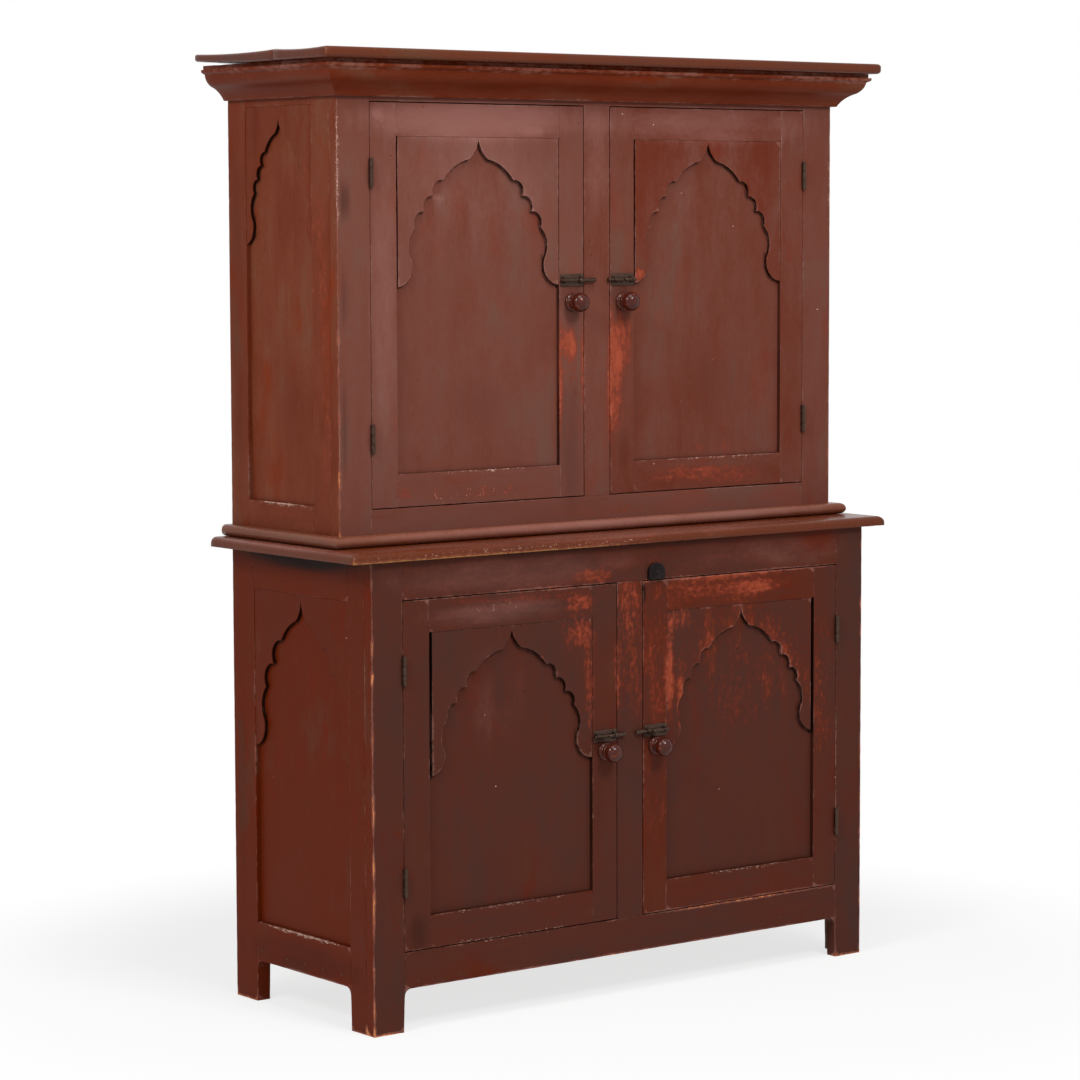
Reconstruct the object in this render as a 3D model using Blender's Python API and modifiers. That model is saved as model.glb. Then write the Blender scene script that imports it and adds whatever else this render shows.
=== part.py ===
"""A painted step-back cupboard in two cases, modelled as the pieces it comes apart into.

Run it with: blender --background --python part.py
Lengths are in metres. +X is the viewer's right, -Y the front and +Z up. The origin is on the
floor, under the middle of the object's bounding box. Doors hang, bolts slide and the turn button
turns on the empties that carry them, which stand on their joints' axes.
"""

import math
from dataclasses import dataclass

import bmesh
import bpy
from mathutils import Matrix, Vector

# Clearances
FIT_GAP = 0.0003
DOOR_GAP = 0.002
CUT_OVERRUN = 0.002

# Outer sizes of the two cases
CASE_WIDTH = 1.260
LOWER_DEPTH = 0.482
UPPER_DEPTH = 0.378
COUNTER_TOP = 0.931
TOTAL_HEIGHT = 1.880

# Face frames: the stiles and rails round the doors, and the post between them
FACE_THICK = 0.026
POST_WIDTH = 0.065
LOWER_STILE = 0.072
LOWER_BOTTOM_RAIL = 0.071
LOWER_TOP_RAIL = 0.0755
UPPER_STILE = 0.076
UPPER_BOTTOM_RAIL = 0.070
UPPER_TOP_RAIL = 0.076
LEG_HEIGHT = 0.084
LEG_ARC = 0.015
LEG_TAPER = 0.002

# Side frames
SIDE_THICK = 0.030
LOWER_SIDE_FRONT_STILE = 0.052
LOWER_SIDE_REAR_STILE = 0.077
LOWER_SIDE_BOTTOM_RAIL = 0.0775
LOWER_SIDE_TOP_RAIL = 0.0795
UPPER_SIDE_FRONT_STILE = 0.060
UPPER_SIDE_REAR_STILE = 0.0625
UPPER_SIDE_BOTTOM_RAIL = 0.0755
UPPER_SIDE_TOP_RAIL = 0.0815

# Counter, mouldings and cornice
COUNTER_THICK = 0.0195
COUNTER_SIDE_OVERHANG = 0.051
COUNTER_FRONT_OVERHANG = 0.015
COUNTER_ROUND = 0.013
WAIST_HEIGHT = 0.023
WAIST_REACH = 0.026
CORNICE_THICK = 0.0215
CORNICE_OVERHANG = 0.075
CORNICE_ROUND = 0.007
CROWN_HEIGHT = 0.0675
CROWN_BASE_REACH = 0.009
CROWN_TURN_REACH = 0.038
CROWN_TURN_HEIGHT = 0.027
CROWN_OVOLO_REACH = 0.053
CROWN_OVOLO_HEIGHT = 0.050
CROWN_FILLET_REACH = 0.061
CROWN_FILLET_HEIGHT = 0.0595
CROWN_NECK_REACH = 0.056
CROWN_COVE_RISE_SHARE = 0.095
CROWN_OVOLO_RISE_SHARE = 0.11

# Boards inside and behind
BOARD_THICK = 0.018
BACK_THICK = 0.012
LOWER_SHELF_HEIGHT = 0.505
UPPER_SHELF_HEIGHT = 1.385
SHELF_SETBACK = 0.034

# Doors and the panels with their scalloped frets
DOOR_THICK = 0.022
DOOR_STILE = 0.061
DOOR_RAIL = 0.064
PANEL_THICK = 0.010
RABBET = 0.008
FRET_THICK = 0.008
FRET_SETBACK = 0.001
DOOR_FRET_BRIDGE = 0.004
LOWER_FRET_BRIDGE = 0.009
UPPER_DOOR_FRET = 0.289
LOWER_DOOR_FRET = 0.279
UPPER_SIDE_FRET = 0.267
UPPER_SIDE_BRIDGE = 0.019
LOWER_SIDE_FRET = 0.314
LOWER_SIDE_BRIDGE = 0.013

# The arch: how far its points lie from the middle line, as shares of half the opening's width, and
# below the peak, as shares of the fret's height, with each arc's rise as a share of its chord
ARCH_OGEE_SHARES = ((0.115, 0.135, -0.09), (0.43, 0.277, 0.10))
ARCH_SCALLOP_END_SHARES = (0.77, 0.599)
ARCH_SCALLOP_RISE_SHARE = 0.32
ARCH_FOOT_SHARES = ((0.818, 0.817, 0.18), (0.827, 0.921, -0.10), (1.0, 1.0, -0.14))

# Hinges
HINGE_HEIGHT = 0.056
HINGE_INSET = 0.134
KNUCKLE_RADIUS = 0.0042
PIN_RADIUS = 0.0019
PIN_PLAY = 0.0003
LEAF_THICK = 0.0012
LEAF_DEPTH = 0.018

# Knobs
KNOB_ROSE_RADIUS = 0.0175
KNOB_ROSE_THICK = 0.006
KNOB_NECK_RADIUS = 0.0105
KNOB_BEAD_RADIUS = 0.0135
KNOB_BEAD_THICK = 0.004
KNOB_HEAD_RADIUS = 0.0188
KNOB_HEAD_HALF_DEPTH = 0.0125
KNOB_HEAD_CENTRE = 0.0315

# Sliding bolts
BOLT_RISE = 0.044
LOWER_BOLT_RISE = 0.035
LOWER_KNOB_RISE = 0.004
PLATE_HEIGHT = 0.025
PLATE_THICK = 0.0015
PLATE_INSET = 0.0015
GUIDE_WIDTH = 0.007
GUIDE_INSET = 0.003
GUIDE_WALL = 0.0018
BOLT_HEIGHT = 0.009
BOLT_THICK = 0.0035
BOLT_TAIL = 0.004
BOLT_CLEAR = 0.001
THUMB_RADIUS = 0.004
THUMB_REACH = 0.007
BOLT_REACHES = {
    "upper_left": 0.027,
    "upper_right": 0.011,
    "lower_left": 0.018,
    "lower_right": 0.024,
}

# Turn button on the lower case's top rail
BUTTON_WIDTH = 0.042
BUTTON_RISE = 0.0195
BUTTON_DROP = 0.0135
BUTTON_THICK = 0.008
BUTTON_PIVOT_ACROSS = 0.065
BUTTON_PIVOT_ABOVE_DOOR = 0.0157
BUTTON_NAIL_RADIUS = 0.0045
BUTTON_NAIL_REACH = 0.0015

# Round shapes: the rise of a quarter circle over its chord, and the facets
QUARTER_RISE_SHARE = math.tan(math.pi / 8) / 2
ARC_STEPS = 4
BARREL_STEPS = 12
KNOB_STEPS = 20

# Finishes: colour, roughness and metallic value
FINISHES = {
    "painted_pine": ((0.19, 0.075, 0.05), 0.62, 0.0),
    "bare_pine": ((0.30, 0.19, 0.11), 0.8, 0.0),
    "wrought_iron": ((0.06, 0.05, 0.045), 0.6, 1.0),
    "turned_knob": ((0.10, 0.025, 0.016), 0.25, 0.0),
    "slate_button": ((0.04, 0.035, 0.045), 0.55, 0.0),
}

# Places worked out from the sizes
HALF_WIDTH = CASE_WIDTH / 2
HALF_POST = POST_WIDTH / 2
KNOB_REACH = KNOB_HEAD_CENTRE + KNOB_HEAD_HALF_DEPTH
FRONT_Y = (KNOB_REACH - LOWER_DEPTH) / 2
REAR_Y = FRONT_Y + LOWER_DEPTH
UPPER_FRONT_Y = REAR_Y - UPPER_DEPTH
COUNTER_UNDER = COUNTER_TOP - COUNTER_THICK
LOWER_TOP = COUNTER_UNDER - FIT_GAP
UPPER_BASE = COUNTER_TOP + FIT_GAP
CORNICE_UNDER = TOTAL_HEIGHT - CORNICE_THICK
UPPER_TOP = CORNICE_UNDER - FIT_GAP
PANEL_FACE = FRET_SETBACK + FRET_THICK + FIT_GAP
KNUCKLE_OUT = KNUCKLE_RADIUS + FIT_GAP


@dataclass(frozen=True)
class Rect:
    """A rectangle on a face: left, right, bottom and top."""

    left: float
    right: float
    bottom: float
    top: float

    def grown(self, by: float) -> "Rect":
        """The rectangle with each edge moved out by a length."""
        return Rect(self.left - by, self.right + by, self.bottom - by, self.top + by)

    def corners(self) -> list[tuple[float, float]]:
        """The four corners, in order round the rectangle."""
        return [
            (self.left, self.bottom),
            (self.right, self.bottom),
            (self.right, self.top),
            (self.left, self.top),
        ]

    def middle(self) -> tuple[float, float]:
        """The middle point."""
        return ((self.left + self.right) / 2, (self.bottom + self.top) / 2)


def face_matrix(origin: Vector, across: Vector, inward: Vector) -> Matrix:
    """Places a face's own coordinates: across it, up it and inwards from it."""
    turn = Matrix((across, Vector((0, 0, 1)), inward)).transposed().to_4x4()
    return Matrix.Translation(origin) @ turn


ACROSS_X = Vector((1, 0, 0))
ACROSS_Y = Vector((0, 1, 0))
LOWER_FRONT = face_matrix(Vector((0, FRONT_Y, 0)), ACROSS_X, ACROSS_Y)
UPPER_FRONT = face_matrix(Vector((0, UPPER_FRONT_Y, 0)), ACROSS_X, ACROSS_Y)


def clear_scene() -> None:
    """Empties the scene that the script starts in."""
    for thing in list(bpy.data.objects):
        bpy.data.objects.remove(thing)


def new_collection(name: str, shown: bool) -> bpy.types.Collection:
    """A collection under the scene's own, for parts or for cutters."""
    collection = bpy.data.collections.new(name)
    collection.hide_render = not shown
    bpy.context.scene.collection.children.link(collection)
    return collection


clear_scene()
PARTS = new_collection("stepback_cupboard", True)
CUTTERS = new_collection("cutters", False)


def new_material(name: str) -> bpy.types.Material:
    """A Principled material for one finish."""
    colour, roughness, metallic = FINISHES[name]
    material = bpy.data.materials.new(name)
    material.use_nodes = True
    shader = material.node_tree.nodes["Principled BSDF"]
    shader.inputs["Base Color"].default_value = (*colour, 1)
    shader.inputs["Roughness"].default_value = roughness
    shader.inputs["Metallic"].default_value = metallic
    return material


MATERIALS = {name: new_material(name) for name in FINISHES}


def piece_from(name: str, bm: bmesh.types.BMesh, finish: str | None) -> bpy.types.Object:
    """Turns built geometry into an object: a part with its finish, or a cutter without one."""
    bmesh.ops.remove_doubles(bm, verts=bm.verts, dist=FIT_GAP / 10)
    bmesh.ops.recalc_face_normals(bm, faces=bm.faces)
    mesh = bpy.data.meshes.new(name)
    bm.to_mesh(mesh)
    bm.free()
    made = bpy.data.objects.new(name, mesh)
    if finish is None:
        made.display_type = "WIRE"
        made.hide_render = True
        CUTTERS.objects.link(made)
    else:
        mesh.materials.append(MATERIALS[finish])
        PARTS.objects.link(made)
    return made


def blocks(name, face, spans, finish=None):
    """Boxes on a face, each given as spans across, up and inwards."""
    bm = bmesh.new()
    for across, up, inward in spans:
        low, high = (Vector(ends) for ends in zip(across, up, inward))
        place = Matrix.Translation((low + high) / 2) @ Matrix.Diagonal((*(high - low), 1))
        bmesh.ops.create_cube(bm, size=1, matrix=face @ place)
    return piece_from(name, bm, finish)


def slab(name, face, outlines, inward, finish=None):
    """A flat piece cut to an outline, with any further outlines as its holes."""
    near, far = inward
    curve = bpy.data.curves.new(name, "CURVE")
    curve.dimensions = "2D"
    curve.fill_mode = "BOTH"
    curve.extrude = (far - near) / 2
    for outline in outlines:
        spline = curve.splines.new("POLY")
        spline.points.add(len(outline) - 1)
        for point, (across, up) in zip(spline.points, outline):
            point.co = (across, up, 0, 1)
        spline.use_cyclic_u = True
    shape = bpy.data.objects.new(name, curve)
    CUTTERS.objects.link(shape)
    mesh = bpy.data.meshes.new_from_object(shape.evaluated_get(bpy.context.evaluated_depsgraph_get()))
    bpy.data.objects.remove(shape)
    bm = bmesh.new()
    bm.from_mesh(mesh)
    bpy.data.meshes.remove(mesh)
    bm.transform(face @ Matrix.Translation((0, 0, (near + far) / 2)))
    return piece_from(name, bm, finish)


def turned(name, place, profile, closed, steps, finish=None):
    """A shape turned from a profile of (radius, height) points, round the place's own Z axis."""
    bm = bmesh.new()
    points = [bm.verts.new((radius, 0, height)) for radius, height in profile]
    for start, end in zip(points, points[1:]):
        bm.edges.new((start, end))
    if closed:
        bm.edges.new((points[-1], points[0]))
    mesh = bpy.data.meshes.new(name)
    bm.to_mesh(mesh)
    bm.free()
    shape = bpy.data.objects.new(name, mesh)
    CUTTERS.objects.link(shape)
    screw = shape.modifiers.new("Screw", "SCREW")
    screw.steps = steps
    screw.render_steps = steps
    screw.use_merge_vertices = True
    screw.merge_threshold = FIT_GAP / 10
    solid = bpy.data.meshes.new_from_object(shape.evaluated_get(bpy.context.evaluated_depsgraph_get()))
    bpy.data.objects.remove(shape)
    bm = bmesh.new()
    bm.from_mesh(solid)
    bpy.data.meshes.remove(solid)
    bm.transform(place)
    return piece_from(name, bm, finish)


def boolean(piece, other, operation):
    """Cuts another solid from a piece, or joins it on, and puts the other among the cutters."""
    modifier = piece.modifiers.new(other.name, "BOOLEAN")
    modifier.operation = operation
    modifier.solver = "EXACT"
    modifier.object = other


def empty_at(name: str, place: Vector, parent=None) -> bpy.types.Object:
    """An empty on a joint's axis, which carries the pieces that move on it."""
    carrier = bpy.data.objects.new(name, None)
    PARTS.objects.link(carrier)
    carrier.location = place
    if parent is not None:
        carrier.parent = parent
        carrier.location = place - parent.location
    return carrier


def ride(piece: bpy.types.Object, carrier: bpy.types.Object) -> None:
    """Parents a piece to an empty without moving it."""
    piece.parent = carrier
    origin = carrier.location + (carrier.parent.location if carrier.parent else Vector())
    piece.matrix_parent_inverse = Matrix.Translation(-origin)


def arc(start, end, rise_share):
    """Points of an arc after its start. Its rise, a share of its chord, is to the right of the way."""
    start, end = Vector(start), Vector(end)
    chord = end - start
    if rise_share == 0:
        return [tuple(end)]
    side = Vector((chord.y, -chord.x))
    half_angle = 2 * math.atan(2 * abs(rise_share))
    radius_share = 1 / (2 * math.sin(half_angle))
    sign = math.copysign(1, rise_share)
    centre = (start + end) / 2 - side * (radius_share * math.cos(half_angle) * sign)
    points = []
    for step in range(1, ARC_STEPS + 1):
        turn = Matrix.Rotation(sign * half_angle * (2 * step / ARC_STEPS - 1), 2)
        points.append(tuple(centre + turn @ (side * sign * radius_share)))
    return points


def arch_outline(opening: Rect, height: float, bridge: float, scallops: int):
    """The outline of a fret: the opening's top corners with a scalloped ogee arch cut in them."""
    middle, _ = opening.middle()
    half = opening.right - middle
    peak = opening.top - bridge
    drop = height - bridge
    start, end = ARCH_OGEE_SHARES[-1][:2], ARCH_SCALLOP_END_SHARES
    steps = list(ARCH_OGEE_SHARES)
    for number in range(1, scallops + 1):
        share = number / scallops
        across = start[0] + (end[0] - start[0]) * share
        below = start[1] + (end[1] - start[1]) * share
        steps.append((across, below, ARCH_SCALLOP_RISE_SHARE))
    steps += ARCH_FOOT_SHARES
    right = [(0.0, peak)]
    for across, below, rise in steps:
        right += arc(right[-1], (across * half, peak - below * drop), -rise)
    left = [(-across, up) for across, up in reversed(right[1:])]
    arch = [(middle + across, up) for across, up in left + right]
    return arch + [(opening.right, opening.top), (opening.left, opening.top)]


def leg_outline(left, right, top, width, far_width):
    """A frame's outer outline, with two legs that stand on the floor and arcs under the rail."""
    near_foot = left + width - LEG_TAPER
    far_foot = right - far_width + LEG_TAPER
    rise = LEG_HEIGHT - LEG_ARC
    near = [(near_foot, 0), (left + width, rise)]
    near += arc(near[-1], (left + width + LEG_ARC, LEG_HEIGHT), -QUARTER_RISE_SHARE)
    far = [(right - far_width - LEG_ARC, LEG_HEIGHT)]
    far += arc(far[-1], (right - far_width, rise), -QUARTER_RISE_SHARE)
    far.append((far_foot, 0))
    return [(left, 0), *near, *far, (right, 0), (right, top), (left, top)]


def hinge_heights(opening: Rect) -> list[float]:
    """The middle heights of a door's two hinges."""
    inset = DOOR_GAP + HINGE_INSET
    return [opening.bottom + inset, opening.top - inset]


def hinge_pockets(opening: Rect, edge: float, into: int):
    """The mortises that let hinge leaves into an edge, as boxes running inwards from the face."""
    deep = edge + into * (LEAF_THICK + FIT_GAP)
    open_side = edge - into * DOOR_GAP / 2
    half = HINGE_HEIGHT / 2 + FIT_GAP
    across = (min(deep, open_side), max(deep, open_side))
    return [
        (across, (height - half, height + half), (-CUT_OVERRUN, LEAF_DEPTH + FIT_GAP))
        for height in hinge_heights(opening)
    ]


def door_openings(case: str) -> dict[str, Rect]:
    """The two door openings of a case's face frame, by side."""
    if case == "lower":
        edge = HALF_WIDTH - LOWER_STILE
        bottom = LEG_HEIGHT + LOWER_BOTTOM_RAIL
        top = LOWER_TOP - LOWER_TOP_RAIL
    else:
        edge = HALF_WIDTH - UPPER_STILE
        bottom = UPPER_BASE + UPPER_BOTTOM_RAIL
        top = UPPER_TOP - UPPER_TOP_RAIL
    return {
        "left": Rect(-edge, -HALF_POST, bottom, top),
        "right": Rect(HALF_POST, edge, bottom, top),
    }


def face_frame(case: str, face: Matrix) -> None:
    """The frame round a case's doors: two stiles, two rails and the post between the doors."""
    openings = door_openings(case)
    if case == "lower":
        outer = leg_outline(-HALF_WIDTH, HALF_WIDTH, LOWER_TOP, LOWER_STILE, LOWER_STILE)
    else:
        outer = Rect(-HALF_WIDTH, HALF_WIDTH, UPPER_BASE, UPPER_TOP).corners()
    holes = [opening.corners() for opening in openings.values()]
    frame = slab(f"{case}_face_frame", face, [outer, *holes], (0, FACE_THICK), "painted_pine")
    pockets = hinge_pockets(openings["left"], openings["left"].left, -1)
    pockets += hinge_pockets(openings["right"], openings["right"].right, 1)
    boolean(frame, blocks(f"{case}_case_pockets", face, pockets), "DIFFERENCE")


def panel_rebate(opening: Rect, frame_thick: float):
    """The rebate behind an opening that a panel lies in, cut out through the frame's back."""
    seat = opening.grown(RABBET)
    inward = (PANEL_FACE - FIT_GAP, frame_thick + CUT_OVERRUN)
    return ((seat.left, seat.right), (seat.bottom, seat.top), inward)


def panel_board(opening: Rect):
    """The flat panel that lies in the rebate behind an opening."""
    board = opening.grown(RABBET - FIT_GAP)
    inward = (PANEL_FACE, PANEL_FACE + PANEL_THICK)
    return ((board.left, board.right), (board.bottom, board.top), inward)


def side_frames(case: str) -> None:
    """Both side frames of a case, each with its panel and the fret that is glued to the panel."""
    near = FACE_THICK + FIT_GAP
    if case == "lower":
        depth, origin_y, base, top = LOWER_DEPTH, FRONT_Y, LEG_HEIGHT, LOWER_TOP
        front, rear = LOWER_SIDE_FRONT_STILE, LOWER_SIDE_REAR_STILE
        rails = (LOWER_SIDE_BOTTOM_RAIL, LOWER_SIDE_TOP_RAIL)
        fret, bridge, scallops = LOWER_SIDE_FRET, LOWER_SIDE_BRIDGE, 2
        outer = leg_outline(near, depth, top, front, rear)
    else:
        depth, origin_y, base, top = UPPER_DEPTH, UPPER_FRONT_Y, UPPER_BASE, UPPER_TOP
        front, rear = UPPER_SIDE_FRONT_STILE, UPPER_SIDE_REAR_STILE
        rails = (UPPER_SIDE_BOTTOM_RAIL, UPPER_SIDE_TOP_RAIL)
        fret, bridge, scallops = UPPER_SIDE_FRET, UPPER_SIDE_BRIDGE, 3
        outer = Rect(near, depth, base, top).corners()
    opening = Rect(near + front, depth - rear, base + rails[0], top - rails[1])
    shape = arch_outline(opening.grown(-FIT_GAP), fret, bridge, scallops)
    outlines = [outer, opening.corners()]
    for side, sign in (("left", -1), ("right", 1)):
        name = f"{case}_{side}"
        origin = Vector((sign * HALF_WIDTH, origin_y, 0))
        face = face_matrix(origin, ACROSS_Y, Vector((-sign, 0, 0)))
        frame = slab(f"{name}_side_frame", face, outlines, (0, SIDE_THICK), "painted_pine")
        rebate = panel_rebate(opening, SIDE_THICK)
        boolean(frame, blocks(f"{name}_rebate", face, [rebate]), "DIFFERENCE")
        panel = blocks(f"{name}_side_panel", face, [panel_board(opening)], "painted_pine")
        glued_depth = (FRET_SETBACK, PANEL_FACE + PANEL_THICK / 2)
        boolean(panel, slab(f"{name}_side_fret", face, [shape], glued_depth), "UNION")


def edged_board(name, low, high, top_round, under_round, finish):
    """A board with its front and side edges rounded, above and below."""
    bm = bmesh.new()
    low, high = Vector(low), Vector(high)
    place = Matrix.Translation((low + high) / 2) @ Matrix.Diagonal((*(high - low), 1))
    bmesh.ops.create_cube(bm, size=1, matrix=place)
    for radius, level in ((top_round, high.z), (under_round, low.z)):
        if radius == 0:
            continue
        edges = [
            edge
            for edge in bm.edges
            if all(abs(vert.co.z - level) < FIT_GAP for vert in edge.verts)
            and not all(abs(vert.co.y - high.y) < FIT_GAP for vert in edge.verts)
        ]
        bmesh.ops.bevel(
            bm, geom=edges, offset=radius, segments=ARC_STEPS, profile=0.5, affect="EDGES", material=-1
        )
    return piece_from(name, bm, finish)


def moulding(name: str, profile, front: float, finish: str) -> bpy.types.Object:
    """A moulding mitred round a case's front and both sides, from a profile of reaches and heights."""
    bm = bmesh.new()
    wall = HALF_WIDTH + FIT_GAP
    ahead = front - FIT_GAP
    end = bm.faces.new([bm.verts.new((-wall - reach, REAR_Y, height)) for reach, height in profile])
    turns = (
        lambda co: (co.x, ahead + co.x + wall, co.z),
        lambda co: (wall + ahead - co.y, co.y, co.z),
        lambda co: (co.x, REAR_Y, co.z),
    )
    for turn in turns:
        grown = bmesh.ops.extrude_face_region(bm, geom=[end])["geom"]
        if turn is not turns[0]:
            bmesh.ops.delete(bm, geom=[end], context="FACES_ONLY")
        end = next(item for item in grown if isinstance(item, bmesh.types.BMFace))
        for vert in end.verts:
            vert.co = turn(vert.co)
    return piece_from(name, bm, finish)


def crown_profile():
    """The crown's section: a fillet, a cove, an ovolo, a fillet and a neck under the cornice."""
    base = UPPER_TOP - CROWN_HEIGHT
    turn = (CROWN_TURN_REACH, base + CROWN_TURN_HEIGHT)
    shoulder = (CROWN_OVOLO_REACH, base + CROWN_OVOLO_HEIGHT)
    profile = [(0.0, base), (CROWN_BASE_REACH, base)]
    profile += arc(profile[-1], turn, -CROWN_COVE_RISE_SHARE)
    profile += arc(turn, shoulder, CROWN_OVOLO_RISE_SHARE)
    profile += [
        (CROWN_FILLET_REACH, base + CROWN_OVOLO_HEIGHT),
        (CROWN_FILLET_REACH, base + CROWN_FILLET_HEIGHT),
        (CROWN_NECK_REACH, base + CROWN_FILLET_HEIGHT),
        (CROWN_NECK_REACH, UPPER_TOP),
        (0.0, UPPER_TOP),
    ]
    return profile


def waist_profile():
    """The waist moulding's section: a board with a half-round nose."""
    base = UPPER_BASE
    radius = WAIST_HEIGHT / 2
    flat = WAIST_REACH - radius
    profile = [(0.0, base), (flat, base)]
    profile += arc(profile[-1], (WAIST_REACH, base + radius), QUARTER_RISE_SHARE)
    profile += arc(profile[-1], (flat, base + WAIST_HEIGHT), QUARTER_RISE_SHARE)
    return profile + [(0.0, base + WAIST_HEIGHT)]


def tops_and_mouldings() -> None:
    """The counter between the cases, the waist and crown mouldings and the cornice boards."""
    edged_board(
        "counter_top",
        (-HALF_WIDTH - COUNTER_SIDE_OVERHANG, FRONT_Y - COUNTER_FRONT_OVERHANG, COUNTER_UNDER),
        (HALF_WIDTH + COUNTER_SIDE_OVERHANG, REAR_Y, COUNTER_TOP),
        COUNTER_ROUND,
        0,
        "painted_pine",
    )
    edged_board(
        "cornice_top",
        (-HALF_WIDTH - CORNICE_OVERHANG, UPPER_FRONT_Y - CORNICE_OVERHANG, CORNICE_UNDER),
        (HALF_WIDTH + CORNICE_OVERHANG, REAR_Y, TOTAL_HEIGHT),
        CORNICE_ROUND,
        CORNICE_ROUND,
        "painted_pine",
    )
    moulding("crown_moulding", crown_profile(), UPPER_FRONT_Y, "painted_pine")
    moulding("waist_moulding", waist_profile(), UPPER_FRONT_Y, "painted_pine")


def inner_boards() -> None:
    """The floor, the shelves and the back boards, which lie between the side frames."""
    inner = HALF_WIDTH - SIDE_THICK - FIT_GAP
    across = (-inner, inner)
    behind = FACE_THICK + FIT_GAP
    lower_back = LOWER_DEPTH - BACK_THICK
    upper_back = UPPER_DEPTH - BACK_THICK
    floor_top = LEG_HEIGHT + LOWER_BOTTOM_RAIL
    boards = (
        (
            "lower_floor",
            LOWER_FRONT,
            (floor_top - BOARD_THICK, floor_top),
            (behind, lower_back - FIT_GAP),
        ),
        (
            "lower_shelf",
            LOWER_FRONT,
            (LOWER_SHELF_HEIGHT - BOARD_THICK, LOWER_SHELF_HEIGHT),
            (behind + SHELF_SETBACK, lower_back - FIT_GAP),
        ),
        (
            "upper_shelf",
            UPPER_FRONT,
            (UPPER_SHELF_HEIGHT - BOARD_THICK, UPPER_SHELF_HEIGHT),
            (behind + SHELF_SETBACK, upper_back - FIT_GAP),
        ),
        ("lower_back_boards", LOWER_FRONT, (LEG_HEIGHT, LOWER_TOP), (lower_back, LOWER_DEPTH)),
        ("upper_back_boards", UPPER_FRONT, (UPPER_BASE, UPPER_TOP), (upper_back, UPPER_DEPTH)),
    )
    for name, face, up, inward in boards:
        blocks(name, face, [(across, up, inward)], "bare_pine")


def hinge_leaf(name, face, edge, into, height, axis, own_knuckles):
    """One leaf of a butt hinge: a plate with tabs, joined to the knuckles that it carries.

    The case's leaf has the end knuckles and the pin, and the door's leaf the middle knuckle.
    """
    half_knuckle = HINGE_HEIGHT / 6
    top, bottom = height + HINGE_HEIGHT / 2, height - HINGE_HEIGHT / 2
    tab = -KNUCKLE_OUT + PIN_RADIUS + PIN_PLAY
    high, low = height + half_knuckle, height - half_knuckle
    if own_knuckles == "ends":
        outline = [
            (tab, bottom), (LEAF_DEPTH, bottom), (LEAF_DEPTH, top), (tab, top),
            (tab, high), (0, high), (0, low), (tab, low),
        ]
        barrel = [
            (0, bottom), (KNUCKLE_RADIUS, bottom), (KNUCKLE_RADIUS, low), (PIN_RADIUS, low),
            (PIN_RADIUS, high), (KNUCKLE_RADIUS, high), (KNUCKLE_RADIUS, top), (0, top),
        ]
    else:
        high, low = high - FIT_GAP, low + FIT_GAP
        outline = [
            (0, bottom), (LEAF_DEPTH, bottom), (LEAF_DEPTH, top), (0, top),
            (0, high), (tab, high), (tab, low), (0, low),
        ]
        bore = PIN_RADIUS + PIN_PLAY
        barrel = [(bore, low), (KNUCKLE_RADIUS, low), (KNUCKLE_RADIUS, high), (bore, high)]
    across, face_origin = face.to_3x3() @ ACROSS_X, face.to_translation()
    plane = face_matrix(face_origin + across * edge, ACROSS_Y, across * into)
    leaf = slab(name, plane, [outline], (0, LEAF_THICK), "wrought_iron")
    knuckles = turned(
        f"{name}_knuckles",
        Matrix.Translation((axis.x, axis.y, 0)),
        barrel,
        own_knuckles != "ends",
        BARREL_STEPS,
    )
    boolean(leaf, knuckles, "UNION")
    return leaf


def knob(name: str, place: Matrix) -> bpy.types.Object:
    """A turned knob: a rose against the door, a neck with a bead, and a rounded head."""
    lowest = math.asin(KNOB_BEAD_RADIUS / KNOB_HEAD_RADIUS)
    bead_high = KNOB_HEAD_CENTRE - KNOB_HEAD_HALF_DEPTH * math.cos(lowest)
    bead_low = bead_high - KNOB_BEAD_THICK
    profile = [
        (0.0, FIT_GAP),
        (KNOB_ROSE_RADIUS, FIT_GAP),
        (KNOB_ROSE_RADIUS, KNOB_ROSE_THICK / 2),
        (KNOB_NECK_RADIUS, KNOB_ROSE_THICK),
        (KNOB_NECK_RADIUS, bead_low - KNOB_BEAD_THICK / 2),
        (KNOB_BEAD_RADIUS, bead_low),
    ]
    rings = 2 * ARC_STEPS
    for ring in range(rings):
        angle = lowest + (math.pi - lowest) * ring / rings
        height = KNOB_HEAD_CENTRE - KNOB_HEAD_HALF_DEPTH * math.cos(angle)
        profile.append((KNOB_HEAD_RADIUS * math.sin(angle), height))
    profile.append((0.0, KNOB_REACH))
    return turned(name, place, profile, False, KNOB_STEPS, "turned_knob")


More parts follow.
